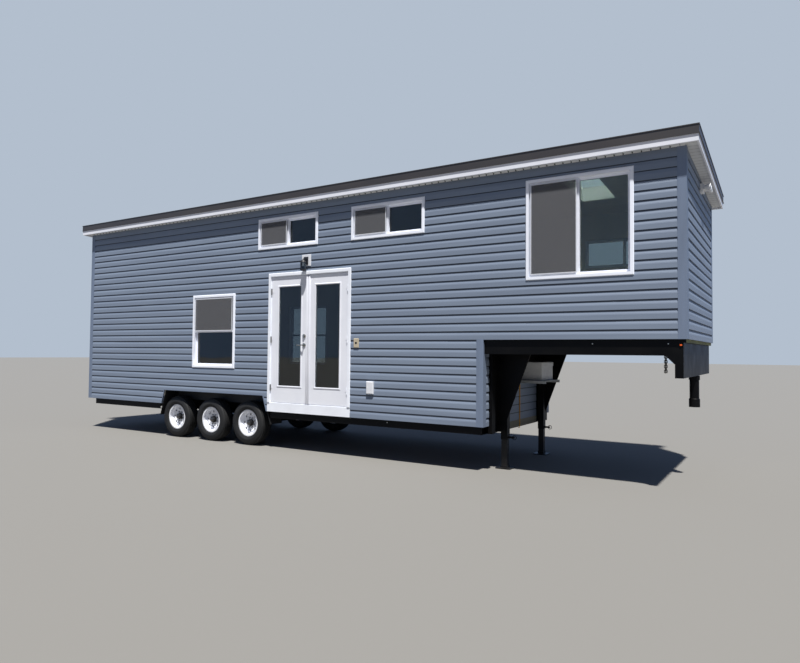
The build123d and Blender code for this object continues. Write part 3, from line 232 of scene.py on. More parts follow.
def revolved(mesh, outline, centre, steps=96, axis="Y"):
    """Turns a closed outline of (radius, distance along the axis) about a line along Y or X."""
    rings = []
    for i in range(steps):
        angle = math.tau * i / steps
        ring = []
        for radius, across in outline:
            sideways = radius * math.cos(angle)
            place = (sideways, across) if axis == "Y" else (across, sideways)
            ring.append(mesh.verts.new(centre + Vector((*place, radius * math.sin(angle)))))
        rings.append(ring)
    for this, following in zip(rings, rings[1:] + rings[:1]):
        for j in range(len(outline)):
            k = (j + 1) % len(outline)
            mesh.faces.new((this[j], this[k], following[k], following[j]))


def add_box(mesh, low, high, rounding=0.0):
    """A closed box between two corners, its edges rounded if asked."""
    made = bmesh.ops.create_cube(mesh, size=1)["verts"]
    for vertex in made:
        vertex.co = Vector([low[i] + (vertex.co[i] + 0.5) * (high[i] - low[i]) for i in range(3)])
    if rounding:
        edges = list({edge for vertex in made for edge in vertex.link_edges})
        bmesh.ops.bevel(mesh, geom=edges, offset=rounding, segments=2, profile=0.5, affect="EDGES")


def tread_block(mesh, left, right, drop_left=0.0, drop_right=0.0):
    """One block of rubber on the tyre, a little narrower outside than at its root."""
    root = tyre_radius - TREAD_HEIGHT - MM
    half_root = math.pi / PITCHES * root - SIPE / 2
    half_top = half_root - 0.5 * MM
    corners = []
    for half, radius, inset in ((half_root, root, 0), (half_top, tyre_radius, 0.8 * MM)):
        for x in (-half, half):
            for across, drop, way in ((left, drop_left, 1), (right, drop_right, -1)):
                z = radius - drop
                corners.append(mesh.verts.new((x, across + way * inset, z)))
    for face in ((0, 1, 3, 2), (4, 6, 7, 5), (0, 4, 5, 1), (2, 3, 7, 6), (0, 2, 6, 4), (1, 5, 7, 3)):
        mesh.faces.new([corners[i] for i in face])


rubber = finish(
    "tyre_rubber", "#19191A", "#262626", 0.7, 9.0, grain=900.0, depth=0.3 * MM, gloss_level=0.35,
)
rim_white = finish("white_rim_enamel", "#E9EBF2", "#DBDEE6", 0.45, 14.0, gloss_level=0.3)
# Black hub paint; the same black on the hand holes' walls is painted shade.
hub_paint_and_hole_shade = finish("black_hub_paint_and_painted_hole_shade", "#151516", "#1C1B1B", 0.5, 20.0, grain=400.0, gloss_level=0.25)
dull_cap = finish("dull_plated_cap", "#6B6864", "#4C4A47", 0.35, 30.0, metallic=1.0)
nut_metal = finish("plated_wheel_nuts", "#8C8F93", "#5F5B52", 0.32, 60.0, metallic=1.0)
liner_black = finish("black_liner_plastic", "#101011", "#232221", 0.6, 6.0, grain=500.0)
paint_nodes(liner_black, "wheel_liners")

rib_edge = MIDDLE_RIB / 2
outer_edge = rib_edge + TREAD_GROOVE + MIDDLE_RIB
shoulder_edge = outer_edge + TREAD_GROOVE
for wheel in [f"{side}_{place}" for side in ("near", "far") for place in ("rear", "middle", "front")]:
    tyre_low, tyre_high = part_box(f"{wheel}_tyre")
    middle = (tyre_low + tyre_high) / 2
    tyre_radius = (tyre_high.x - tyre_low.x) / 2
    carcass = bmesh.new()
    revolved(carcass, [*SIDEWALL_HALF, *((r, -t) for r, t in reversed(SIDEWALL_HALF))], middle)
    finish_piece(f"{wheel}_carcass", carcass, rubber, f"{wheel}_wheel", [f"{wheel}_tyre"], 30)
    pitch = bmesh.new()
    tread_block(pitch, -rib_edge, rib_edge)
    tread_block(pitch, rib_edge + TREAD_GROOVE, outer_edge)
    tread_block(pitch, -outer_edge, -rib_edge - TREAD_GROOVE)
    tread_block(pitch, shoulder_edge, TREAD_WIDTH / 2, 0, SHOULDER_DROP)
    tread_block(pitch, -TREAD_WIDTH / 2, -shoulder_edge, SHOULDER_DROP, 0)
    finish_piece(
        f"{wheel}_tread", pitch, rubber, f"{wheel}_wheel",
        copies={"Copies": PITCHES, "Turn": (0, math.tau / PITCHES, 0), "Centre": tuple(middle)},
    )
    outward = -1 if middle.y < 0 else 1

    def rim_region(face_middle, normal, middle=middle, outward=outward):
        """White dish, hand holes' walls black as painted shade, black hub and drum, dull cap and plated nuts,
        by their place.
        """
        reach = math.hypot(face_middle.x - middle.x, face_middle.z - middle.z)
        out = (face_middle.y - middle.y) * outward
        # The hand holes' walls are painted black: painted shade inside the holes.
        if abs(reach - HOLE_CIRCLE) < HOLE_RADIUS and abs(normal.y) < 0.5:
            return 1
        if out < -DRUM_BACK:
            return 1 if reach < DRUM_RADIUS else 0
        if out < BOSS_DEPTH or reach > NUT_RING[1]:
            return 0
        if reach > NUT_RING[0]:
            return 3
        return 2 if reach < CAP_RADIUS and out > CAP_FOOT else 1

    paint_regions(f"{wheel}_rim", [rim_white, hub_paint_and_hole_shade, dull_cap, nut_metal], rim_region)


# Walls. Timber framing with sheathing outside and painted boards inside stands on the frame and is
# closed off with lap siding: blue-grey vinyl panels pressed into two Dutch-lap courses each.
COURSE = 114.3 * MM
LAP_RISE_AND_DEPTH = (
    (0, 12.0), (2, 12.6), (60, 12.0), (65, 10.6), (70, 10.4), (86, 4.8), (92, 3.6), (114.3, 3.2),
)
# Painted shade under each lap: the siding's colour falls to LAP_SHADE of itself over the top 12 to 18 mm of
# each course.
LAP_SHADE = 0.16
LAP_SHADE_FROM = 18 * MM
LAP_SHADE_FULL = 12 * MM
BOARD_WIDTH = 140 * MM
BOARD_GAP = 2 * MM
BEHIND_FACE = 1 * MM
POST_WIDTH = 85 * MM
SOFFIT_THICKNESS = 14 * MM
ROOF_FALL = 1 / 16
ARCH_LEAN = 150 * MM
ARCH_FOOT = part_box("wheel_liners")[0].z
ARCH_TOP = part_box("wheel_liners")[1].z
ARCH_FRONT_FROM_FRONT = 6343 * MM
ARCH_REAR_FROM_FRONT = 8785 * MM
WALL_SKIN = 5 * MM
POST_PROUD = 14 * MM
POST_OVERLAP = 8 * MM
OPENING_TRIM = 16 * MM
OPENING_TRIM_PROUD = 15 * MM
STEP_SIDING_END = 180 * MM
PANEL_LENGTH = 3.66
JOINT_STAGGER = 0.302
PANEL_LAP = 1.2 * MM
ROUNDING_SLACK = 0.001

rear_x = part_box("rear_wall")[0].x
front_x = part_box("front_wall")[1].x
step_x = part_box("lower_front_wall")[1].x
near_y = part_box("near_wall_top")[0].y
far_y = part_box("far_wall_main")[1].y
skirt_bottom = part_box("siding_skirts")[0].z
loft_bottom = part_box("front_wall")[0].z
near_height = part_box("near_wall_top")[1].z - SOFFIT_THICKNESS
arch_rear_x = front_x - ARCH_REAR_FROM_FRONT
arch_front_x = front_x - ARCH_FRONT_FROM_FRONT


def eaves_height(y):
    """Height of the soffit's underside over a line along the house."""
    return near_height - (y - near_y) * ROOF_FALL


def solid_boxes(node):
    """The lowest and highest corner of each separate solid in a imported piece."""
    mesh = bmesh.new()
    mesh.from_mesh(nodes[node].data)
    bmesh.ops.remove_doubles(mesh, verts=mesh.verts, dist=0.01 * MM)
    boxes = []
    left = set(mesh.verts)
    while left:
        group = [left.pop()]
        for vertex in group:
            for edge in vertex.link_edges:
                other = edge.other_vert(vertex)
                if other in left:
                    left.remove(other)
                    group.append(other)
        boxes.append([
            Vector([pick(vertex.co[i] for vertex in group) for i in range(3)]) for pick in (min, max)
        ])
    mesh.free()
    return sorted(boxes, key=lambda box: tuple(box[0]))


def lap_depth(rise):
    """How far a course stands out of the wall at a height above its lower edge."""
    points = LAP_RISE_AND_DEPTH
    for (z0, d0), (z1, d1) in zip(points, points[1:]):
        if rise <= z1:
            return d0 + (d1 - d0) * (rise - z0) / (z1 - z0)
    return points[-1][1]


def closed_prism(mesh, first, last):
    """Joins two outlines of the same count into one closed solid."""
    left = [mesh.verts.new(place) for place in first]
    right = [mesh.verts.new(place) for place in last]
    mesh.faces.new(left)
    mesh.faces.new(right[::-1])
    for i in range(len(left)):
        j = (i + 1) % len(left)
        mesh.faces.new((left[i], right[i], right[j], left[j]))


def lay_course(mesh, face, start, end, course_foot, foot, top, proud):
    """One closed strip of siding. Its ends may lean, so they are given as functions of height."""
    rises = [z for z, _ in LAP_RISE_AND_DEPTH]
    low = (foot - course_foot) / MM
    high = (top - course_foot) / MM
    rises = [low] + [z for z in rises if low < z < high] + [high]
    outline = [(course_foot + r * MM, lap_depth(r) * MM + proud) for r in rises]
    outline += [(top, -BEHIND_FACE), (foot, -BEHIND_FACE)]
    closed_prism(mesh, *[[face(limit(z), z, depth) for z, depth in outline] for limit in (start, end)])


def free_cells(u0, u1, low, high, holes):
    """The parts of one course that no opening covers, as start, end, foot and top."""
    edges = sorted({u0, u1, *(u for hole in holes for u in hole[:2] if u0 < u < u1)})
    cells = []
    for a, b in zip(edges, edges[1:]):
        middle = (a + b) / 2
        foot, top = low, high
        for h0, h1, z0, z1 in holes:
            if h0 < middle < h1 and z0 < top and z1 > foot:
                foot, top = (max(foot, z1), top) if z0 <= foot else (foot, min(top, z0))
        if top - foot > BEHIND_FACE:
            if cells and cells[-1][1] == a and cells[-1][2:] == (foot, top):
                cells[-1] = (cells[-1][0], b, foot, top)
            else:
                cells.append((a, b, foot, top))
    return cells


def side_wall(mesh, face, u0, u1, foot, top, holes=(), start=None, end=None):
    """Covers a rectangle of wall with courses counted up from the skirt's lower edge."""
    number = int((foot - skirt_bottom) / COURSE + ROUNDING_SLACK)
    course_foot = skirt_bottom + number * COURSE
    while course_foot < top - BEHIND_FACE:
        low = max(foot, course_foot)
        high = min(top, course_foot + COURSE)
        shift = PANEL_LENGTH * (number // 2 * JOINT_STAGGER % 1)
        joints = [rear_end + shift + i * PANEL_LENGTH for i in range(-1, 4)]
        for a, b, cell_foot, cell_top in free_cells(u0, u1, low, high, holes):
            cuts = [a] + [joint for joint in joints if a + POST_WIDTH < joint < b - POST_WIDTH] + [b]
            for c, d in zip(cuts, cuts[1:]):
                begin = start if start and c == u0 else (lambda z, c=c: c)
                stop = end if end and d == u1 else (lambda z, d=d: d)
                proud = PANEL_LAP * (sum(joint <= c for joint in joints) % 2)
                lay_course(mesh, face, begin, stop, course_foot, cell_foot, cell_top, proud)
        course_foot += COURSE
        number += 1


def arithmetic(tree, operation, value, number=0.0):
    """One sum on a value, with a fixed number as its second term."""
    node = add_node(tree, "ShaderNodeMath", [(0, value)], operation=operation)
    node.inputs[1].default_value = number
    return node


def shade_base(tree, shader, tone, share):
    """Darkens a base colour by a share that a pattern gives, as painted shade."""
    shaded = add_node(tree, "ShaderNodeVectorMath", [(0, tone), ("Scale", share)], operation="SCALE")
    tree.links.new(shaded.outputs[0], shader.inputs["Base Color"])


def split_place(tree, place):
    """The X, Y and Z of a place, each as its own value."""
    return add_node(tree, "ShaderNodeSeparateXYZ", [("Vector", place)]).outputs


def coating(name, roughness, scale, tones, stretch=(1, 1, 1), spread=(0.35, 0.65), grain=None, relief=()):
    """Two tones in patches, over a grain whose relief is given as its strength and depth."""
    material, tree, shader, place = start_material(name, Roughness=roughness)
    mottle(tree, place, shader, scale, *tones, stretch, *spread)
    if grain:
        bump(tree, shader, patches(tree, place, **grain), *relief)
    return material


def siding_vinyl():
    """Extruded blue-grey vinyl: satin, with faint embossed wood grain, a slight drift in tone and painted
    shade in a band under each lap.
    """
    material, tree, shader, place = start_material("blue_grey_lap_siding", Roughness=0.52)
    _, tone = mottle(tree, place, shader, 1.4, "#717C8E", "#7A8698", (0.4, 0.4, 9.0), 0.3, 0.7)
    height = arithmetic(tree, "SUBTRACT", split_place(tree, place)["Z"], skirt_bottom)
    # Painted shade: darkens the top of each course, where the next lap's shadow falls.
    painted_lap_shade = add_node(
        tree, "ShaderNodeMapRange", [("Value", arithmetic(tree, "FLOORED_MODULO", height, COURSE))],
        From_Min=COURSE - LAP_SHADE_FROM, From_Max=COURSE - LAP_SHADE_FULL, To_Min=1.0, To_Max=LAP_SHADE,
    )
    shade_base(tree, shader, tone, painted_lap_shade)
    bump(tree, shader, patches(tree, place, 1.0, 5.0, (18, 18, 420)), 0.25, 0.35 * MM)
    return material


def inner_boards():
    """White-washed boards inside, 140 mm wide, that show faintly through the panes."""
    material, tree, shader, place = start_material("painted_inner_boards", Roughness=0.6)
    mottle(tree, place, shader, 3.0, "#D9D6CE", "#E4E1DA", stretch=(1, 1, 0.2))
    board = arithmetic(tree, "PINGPONG", split_place(tree, place)["Z"], BOARD_WIDTH / 2)
    bump(tree, shader, arithmetic(tree, "GREATER_THAN", board, BOARD_GAP), 0.6, BOARD_GAP)
    return material


siding = siding_vinyl()
trim_blue = coating(
    "blue_grey_trim_vinyl", 0.5, 3.0, ("#687488", "#6F7C92"), (4, 4, 0.6), (0.3, 0.7),
    {"scale": 1.0, "detail": 4.0, "stretch": (300, 300, 14)}, (0.2, 0.3 * MM),
)
boards_inside = inner_boards()


def wall_region(middle, normal):
    """Painted boards towards the rooms, vinyl on the weather side and under the walls."""
    outside_y = middle.y < near_y + WALL_SKIN or middle.y > far_y - WALL_SKIN
    outside_x = middle.x < rear_x + WALL_SKIN or middle.x > front_x - WALL_SKIN
    at_step = middle.z < loft_bottom and middle.x > step_x - WALL_SKIN
    underside = normal.z < -0.5 and middle.z < loft_bottom + MM
    return 1 if outside_y or outside_x or at_step or underside else 0


for node in (
    "near_wall_lower", "near_wall_top", "near_wall_loft", "far_wall_main", "far_wall_loft",
    "rear_wall", "front_wall", "lower_front_wall",
):
    paint_regions(node, [boards_inside, trim_blue], wall_region)
paint_nodes(trim_blue, "siding_skirts", "corner_posts")


def wall_face(axis, level, way):
    """Gives a wall's places by the distance along it, the height and the depth out of its face."""
    def place_on_wall(along, z, depth):
        return (along, level + way * depth, z) if axis == "Y" else (level + way * depth, along, z)
    return place_on_wall


near_face = wall_face("Y", near_y, -1)
far_face = wall_face("Y", far_y, 1)
rear_face = wall_face("X", rear_x, -1)
front_face = wall_face("X", front_x, 1)
step_face = wall_face("X", step_x, 1)

window_boxes = solid_boxes("window_frames")
near_windows = [box for box in window_boxes if box[0].y < near_y]
far_windows = [box for box in window_boxes if box[1].y > far_y]
rear_windows = [box for box in window_boxes if box[0].x < rear_x]
door_low, door_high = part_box("door_frame")
near_holes = [(low.x, high.x, low.z, high.z) for low, high in near_windows + solid_boxes("mounting_blocks")]
near_holes.append((door_low.x, door_high.x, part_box("door_sill")[0].z, door_high.z))
far_holes = [(low.x, high.x, low.z, high.z) for low, high in far_windows]
rear_holes = [(low.y, high.y, low.z, high.z) for low, high in rear_windows]
rear_end = rear_x + POST_WIDTH
step_end = step_x - POST_WIDTH
front_end = front_x - POST_WIDTH


def arch_slope(z):
    """How far the wheel opening spreads at a height below its top."""
    return ARCH_LEAN * (ARCH_TOP - z) / (ARCH_TOP - ARCH_FOOT)


def side_of_the_house(name, face, height, holes):
    """The siding of one long side, cut round the wheels, up to the eaves."""
    mesh = bmesh.new()
    side_wall(
        mesh, face, rear_end, arch_rear_x, skirt_bottom, ARCH_TOP, holes,
        end=lambda z: arch_rear_x - arch_slope(z),
    )
    side_wall(
        mesh, face, arch_front_x, step_end, skirt_bottom, ARCH_TOP, holes,
        start=lambda z: arch_front_x + arch_slope(z),
    )
    side_wall(mesh, face, rear_end, step_end, ARCH_TOP, loft_bottom, holes)
    side_wall(mesh, face, rear_end, front_end, loft_bottom, height, holes)
    finish_piece(name, mesh, siding, smooth=8)


side_of_the_house("near_siding", near_face, near_height, near_holes)
side_of_the_house("far_siding", far_face, eaves_height(far_y), far_holes)


def end_siding(name, face, foot, holes=()):
    """The siding of an end wall, whose top edge falls with the roof."""
    u0 = near_y + POST_WIDTH
    u1 = far_y - POST_WIDTH
    mesh = bmesh.new()
    side_wall(mesh, face, u0, u1, foot, eaves_height(u1), holes)
    side_wall(
        mesh, face, u0, u1, eaves_height(u1), eaves_height(u0), holes,
        end=lambda z: near_y + (near_height - z) / ROOF_FALL,
    )
    finish_piece(name, mesh, siding, smooth=8)


end_siding("rear_siding", rear_face, skirt_bottom, rear_holes)
end_siding("front_siding", front_face, loft_bottom)
below_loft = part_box("loft_floor")[0].z
mesh = bmesh.new()
side_wall(mesh, step_face, near_y + POST_WIDTH, near_y + STEP_SIDING_END, skirt_bottom, below_loft)
side_wall(mesh, step_face, far_y - STEP_SIDING_END, far_y - POST_WIDTH, skirt_bottom, below_loft)
finish_piece("step_siding", mesh, siding, smooth=8)


def opening_edge(name, face):
    """The channel that edges the siding over and beside the wheels."""
    def section(x0, z0, x1, z1):
        return [face(x0, z0, -BEHIND_FACE), face(x1, z1, -BEHIND_FACE)] + [
            face(x1, z1, OPENING_TRIM_PROUD), face(x0, z0, OPENING_TRIM_PROUD),
        ]

    mesh = bmesh.new()
    for side_x, way in ((arch_rear_x, -1), (arch_front_x, 1)):
        edge = [(side_x + way * arch_slope(z), z) for z in (skirt_bottom, ARCH_TOP)]
        closed_prism(mesh, *[section(x, z, x + way * OPENING_TRIM, z) for x, z in edge])
    ends = (arch_rear_x - OPENING_TRIM, arch_front_x + OPENING_TRIM)
    closed_prism(mesh, *[section(x, ARCH_TOP, x, ARCH_TOP + OPENING_TRIM) for x in ends])
    finish_piece(name, mesh, trim_blue)


step_post_top = bmesh.new()
for y0, y1 in ((near_y - POST_PROUD, near_y), (far_y, far_y + POST_PROUD)):
    add_box(
        step_post_top, (step_x - POST_WIDTH, y0, below_loft - MM),
        (step_x + POST_PROUD, y1, loft_bottom + POST_OVERLAP), MM,
    )
finish_piece("step_post_tops", step_post_top, trim_blue)
opening_edge("near_opening_edge", near_face)
opening_edge("far_opening_edge", far_face)


# Roof edge. A white aluminium fascia closes the eaves, with dark brown steel trim bent over it and a
# ribbed roof sheet behind; the soffit below is white vinyl with a V-groove every 102 mm.
GROOVE_PITCH = 102 * MM
GROOVE_WIDTH = 14 * MM
# Painted shade in the soffit grooves, as a share of the colour.
GROOVE_SHADE = 0.45
ROOF_RISE = 166 * MM
RIB_PITCH = 229 * MM
RIB_FOOT = 50 * MM
RIB_TOP = 18 * MM
RIB_HEIGHT = 19 * MM
RIB_END = 30 * MM
RIB_FROM_EAVE = 90 * MM
CHANNEL_WIDTH = 16 * MM
CHANNEL_HEIGHT = 12 * MM
NOTCH = 13 * MM
SHAFT_INSET = 20 * MM


def soffit_vinyl():
    """White extruded vinyl panels: matt, with a shallow V-groove every 102 mm across the eave and painted
    shade in each groove.
    """
    material, tree, shader, place = start_material("white_grooved_soffit", Roughness=0.6)
    _, tone = mottle(tree, place, shader, 1.5, "#DCDEE2", "#D2D4D8")
    split = split_place(tree, place)
    at_end = arithmetic(tree, "GREATER_THAN", arithmetic(tree, "ABSOLUTE", split["X"]), front_x)
    along = add_node(tree, "ShaderNodeMix", [("Factor", at_end), ("A", split["X"]), ("B", split["Y"])])
    groove = add_node(
        tree, "ShaderNodeMapRange", [("Value", arithmetic(tree, "PINGPONG", along, GROOVE_PITCH / 2))],
        From_Max=GROOVE_WIDTH / 2,
    )
    bump(tree, shader, groove, 1.0, 3 * MM)
    # Painted shade: the colour falls to GROOVE_SHADE of itself in each groove.
    shade = add_node(tree, "ShaderNodeMapRange", [("Value", groove)], To_Min=GROOVE_SHADE)
    shade_base(tree, shader, tone, shade)
    return material


fascia_white = coating(
    "white_coated_fascia", 0.35, 2.0, ("#E6E8F1", "#DFE1EA"), spread=(0.4, 0.8),
    grain={"scale": 3.0, "detail": 1.0}, relief=(0.2, 2 * MM),
)
roof_brown = coating(
    "dark_brown_roof_steel", 0.42, 2.2, ("#3B3736", "#45403D"), (0.5, 2, 2), (0.4, 0.8),
    {"scale": 6.0, "detail": 1.0}, (0.15, MM),
)
soffit_white = soffit_vinyl()
ceiling = coating("painted_ceiling", 0.55, 2.0, ("#E2DFD7", "#EAE7E0"), (0.3, 3, 1))
paint_nodes(fascia_white, "fascia")
paint_nodes(roof_brown, "roof_covering")
paint_nodes(soffit_white, "soffit")
paint_nodes(ceiling, "roof_deck")
roof_low, roof_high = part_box("roof_covering")
sky_low, sky_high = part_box("skylight_frame")


def skylight_region(middle, normal):
    """White lining inside the shaft and below the roof, brown metal outside."""
    inside_x = sky_low.x + SHAFT_INSET < middle.x < sky_high.x - SHAFT_INSET
    inside_y = sky_low.y + SHAFT_INSET < middle.y < sky_high.y - SHAFT_INSET
    return 1 if inside_x and inside_y or middle.z < eaves_height(middle.y) + 2 * SOFFIT_THICKNESS else 0


shaft_white = finish("white_skylight_lining", "#F0F2EE", "#E6E9E4", 0.6, 3.0)
paint_regions("skylight_frame", [roof_brown, shaft_white], skylight_region)


def rib_mesh(y0, y1):
    """One rib of the roof sheet, running down the slope between two lines."""
    mesh = bmesh.new()
    closed_prism(mesh, *[[
        (x, y, eaves_height(y) + ROOF_RISE + rise)
        for x, rise in (
            (-RIB_FOOT / 2, -MM), (-RIB_TOP / 2, RIB_HEIGHT), (RIB_TOP / 2, RIB_HEIGHT), (RIB_FOOT / 2, -MM),
        )
    ] for y in (y0, y1)])
    return mesh


rib_start = roof_low.x + RIB_PITCH / 2
rib_count = int((roof_high.x - rib_start) / RIB_PITCH) + 1
rib_places = [rib_start + i * RIB_PITCH for i in range(rib_count)]
before = [x for x in rib_places if x < sky_low.x - RIB_FOOT]
beside = [x for x in rib_places if sky_low.x - RIB_FOOT <= x <= sky_high.x + RIB_FOOT]
beyond = [x for x in rib_places if x > sky_high.x + RIB_FOOT]
rib_ends = (roof_low.y + RIB_FROM_EAVE, roof_high.y - RIB_END)
for name, places, y0, y1 in (
    ("rear_roof_ribs", before, *rib_ends),
    ("front_roof_ribs", beyond, *rib_ends),
    ("high_roof_ribs", beside, rib_ends[0], sky_low.y - RIB_END),
    ("low_roof_ribs", beside, sky_high.y + RIB_END, rib_ends[1]),
):
    finish_piece(name, rib_mesh(y0, y1), roof_brown, copies={
        "Copies": len(places), "Step": (RIB_PITCH, 0, 0), "Centre": (places[0], 0, 0),
    })
channels = bmesh.new()
for y0, y1, top in (
    (near_y - CHANNEL_WIDTH, near_y, near_height),
    (far_y, far_y + CHANNEL_WIDTH, eaves_height(far_y + CHANNEL_WIDTH)),
):
    add_box(channels, (rear_x, y0, top - CHANNEL_HEIGHT), (front_x, y1, top + 2 * MM), MM)
finish_piece("soffit_channels", channels, soffit_white)
# Small dark blocks in the near soffit channel, one at each groove: painted shade where each soffit panel's
# end sits in the channel.
notch = bmesh.new()
add_box(notch, (-NOTCH / 2, -NOTCH / 2, -NOTCH), (NOTCH / 2, NOTCH / 2, 0))
painted_shade_notch = finish("painted_shade_soffit_joint", "#1B1B1D", "#26262A", 0.8, 40.0, grain=300.0)
first_groove = math.ceil(rear_x / GROOVE_PITCH) * GROOVE_PITCH
finish_piece("soffit_joint_shade_marks", notch, painted_shade_notch, copies={
    "Copies": int((front_x - first_groove) / GROOVE_PITCH), "Step": (GROOVE_PITCH, 0, 0),
    "Centre": (first_groove, near_y - CHANNEL_WIDTH, near_height + MM),
})


# Floors. The main floor is plywood with a clear coat; the loft's is treated framing lumber, bare and
# faintly green at the front edge and painted black along the sides.
PLY_PALE = "#B08E62"
PLY_DARK = "#8E6C44"
LOFT_RIM_DEPTH = 60 * MM


def timber(name, pale, dark, stretch, roughness):
    """Sawn wood: streaks along the grain, finer pores over them, and a slight relief."""
    pores = {"scale": 2.0, "detail": 6.0, "stretch": [step * 6 for step in stretch]}
    return coating(name, roughness, 1.0, (dark, pale), stretch, (0.3, 0.7), pores, (0.4, 0.5 * MM))


paint_nodes(timber("coated_floor_plywood", PLY_PALE, PLY_DARK, (1.5, 22, 22), 0.4), "main_floor")
loft_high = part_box("loft_floor")[1]


def loft_region(middle, normal):
    """Bare timber at the front edge, black paint on the other rims, plywood on top."""
    if normal.z > 0.5 and middle.z > loft_high.z - MM:
        return 0
    if normal.x > 0.5 and middle.x > loft_high.x - LOFT_RIM_DEPTH:
        return 1
    return 2


paint_regions("loft_floor", [
    timber("loft_plywood", PLY_PALE, PLY_DARK, (20, 1.5, 20), 0.5),
    timber("treated_rim_joist", "#7F8050", "#5C5E35", (20, 1.8, 30), 0.75),
    chassis_black,
], loft_region)


# Windows. Sealed double panes sit in welded frames of white extruded vinyl; one sash of each window is
# behind an insect screen of grey fibreglass cloth, held by a spline in a thin aluminium rim.
SCREEN_RIM = 12 * MM
SCREEN_PROUD = 3 * MM
CLOTH_BACK = 1.2 * MM
CLOTH_THICK = 0.5 * MM
PANE_BITE = 8 * MM
WEAVE = 1.4 * MM
LOCK_SIZE = (52 * MM, 9 * MM, 14 * MM)
LOCK_FROM_PANE = 4 * MM
SIDE_BY_SIDE = 100 * MM
LOFT_PANES_BEHIND_STEP = 500 * MM


def sealed_glass(name, tint):
    """A coated double pane: dark and mirror-like, with the slight bow that bends its reflections."""
    material, tree, shader, place = start_material(
        name, Base_Color=linear(tint), Roughness=0.01, Transmission_Weight=1.0,
    )
    bump(tree, shader, patches(tree, place, 1.6, 1.0), 0.25, 3 * MM)
    return material


def screen_cloth():
    """Woven grey fibreglass that lets about a third of the light through, its threads 1.4 mm apart."""
    material, tree, shader, place = start_material("grey_insect_screen", Roughness=0.85, Alpha=0.64)
    split = split_place(tree, place)
    across, up = [arithmetic(tree, "PINGPONG", split[axis], WEAVE / 2) for axis in ("X", "Z")]
    weave = add_node(tree, "ShaderNodeMath", [(0, across), (1, up)], operation="MINIMUM")
    share = add_node(tree, "ShaderNodeMapRange", [("Value", weave)], From_Max=WEAVE / 4)
    mix = add_node(tree, "ShaderNodeValToRGB", [("Fac", share)])
    mix.color_ramp.elements[0].color = linear("#707176")
    mix.color_ramp.elements[1].color = linear("#505155")
    tree.links.new(mix.outputs["Color"], shader.inputs["Base Color"])
    return material


vinyl_white = coating(
    "white_window_vinyl", 0.38, 5.0, ("#F0F4FF", "#E9EDF8"), spread=(0.4, 0.8),
    grain={"scale": 160.0, "detail": 2.0}, relief=(0.12, 0.2 * MM),
)
glass = sealed_glass("coated_window_glass", "#8C979B")
clear_glass = sealed_glass("clear_loft_glass", "#D3DEDA")
paint_nodes(vinyl_white, "window_frames")


def pane_region(middle, normal):
    """Clearer panes in the near loft window and the skylight, coated ones everywhere else."""
    near_loft = middle.x > step_x - LOFT_PANES_BEHIND_STEP and middle.y < 0
    return 1 if near_loft or middle.z > near_height else 0


paint_regions("window_glass", [glass, clear_glass], pane_region)
rims = bmesh.new()
cloth = bmesh.new()
locks = bmesh.new()
panes = solid_boxes("window_glass")
for low, high in near_windows:
    sashes = [
        pane for pane in panes
        if low.x < pane[0].x < high.x and low.z < pane[0].z < high.z and pane[0].y < 0
    ]
    side_by_side = sashes[-1][0].x - sashes[0][0].x > SIDE_BY_SIDE
    pane_low, pane_high = min(sashes, key=lambda pane: pane[0].x if side_by_side else -pane[0].z)
    x0, x1 = pane_low.x + PANE_BITE, pane_high.x - PANE_BITE
    z0, z1 = pane_low.z + PANE_BITE, pane_high.z - PANE_BITE
    rim_x0, rim_x1 = x0 - SCREEN_RIM, x1 + SCREEN_RIM
    back = low.y + SCREEN_PROUD
    for left, right, foot, top in (
        (rim_x0, rim_x1, z0 - SCREEN_RIM, z0), (rim_x0, rim_x1, z1, z1 + SCREEN_RIM),
        (rim_x0, x0, z0, z1), (x1, rim_x1, z0, z1),
    ):
        add_box(rims, (left, low.y, foot), (right, back, top), 0.6 * MM)
    add_box(cloth, (x0, back - CLOTH_BACK - CLOTH_THICK, z0), (x1, back - CLOTH_BACK, z1))
    long_way, deep, short_way = LOCK_SIZE
    if side_by_side:
        catch_x, catch_z, across, up = rim_x1, (z0 + z1) / 2, short_way, long_way
    else:
        catch_x, catch_z, across, up = (x0 + x1) / 2, z0 - SCREEN_RIM, long_way, short_way
    inside_y = pane_high.y + LOCK_FROM_PANE
    add_box(
        locks, (catch_x - across / 2, inside_y, catch_z - up / 2),
        (catch_x + across / 2, inside_y + deep, catch_z + up / 2), 2 * MM,
    )
screen_rim_paint = finish("white_screen_rim", "#D5D8E0", "#C9CCD6", 0.4, 30.0, grain=200.0)
finish_piece("screen_rims", rims, screen_rim_paint)
finish_piece("screen_cloth", cloth, screen_cloth())
finish_piece("sash_locks", locks, screen_rim_paint)


# Double door. Two insulated slabs of painted steel with a tall pane each, in a white jamb with a mitred
# brick mould; the left leaf's hinges are bare steel, the right one's are painted, the locks are nickel.
LEAF_THICKNESS = 45 * MM
BOTTOM_RAIL = 266 * MM
PANE_RIM = (
    (-MM, 0), (26 * MM, 0), (20 * MM, 6 * MM), (10 * MM, 8 * MM), (2 * MM, 5 * MM), (-MM, 4 * MM),
)
ASTRAGAL_WIDTH = 33 * MM
ASTRAGAL_PROUD = 10 * MM
PIN_FROM_LEAF = 2.5 * MM
KNUCKLE_REACH = 9 * MM
LOCK_FROM_PIN = 100 * MM
SCREW_RADIUS = 3.5 * MM
SCREW_PROUD = 1 * MM
SCREW_SPREAD = 30 * MM
SCREW_FROM_EDGE = 4 * MM
SCREW_SEAT = 3 * MM
TURNED_CORE = 0.4 * MM
SEAL_FROM_EDGE = (30 * MM, 22 * MM)
SEAL_END = 10 * MM
SEAL_THICKNESS = 4 * MM

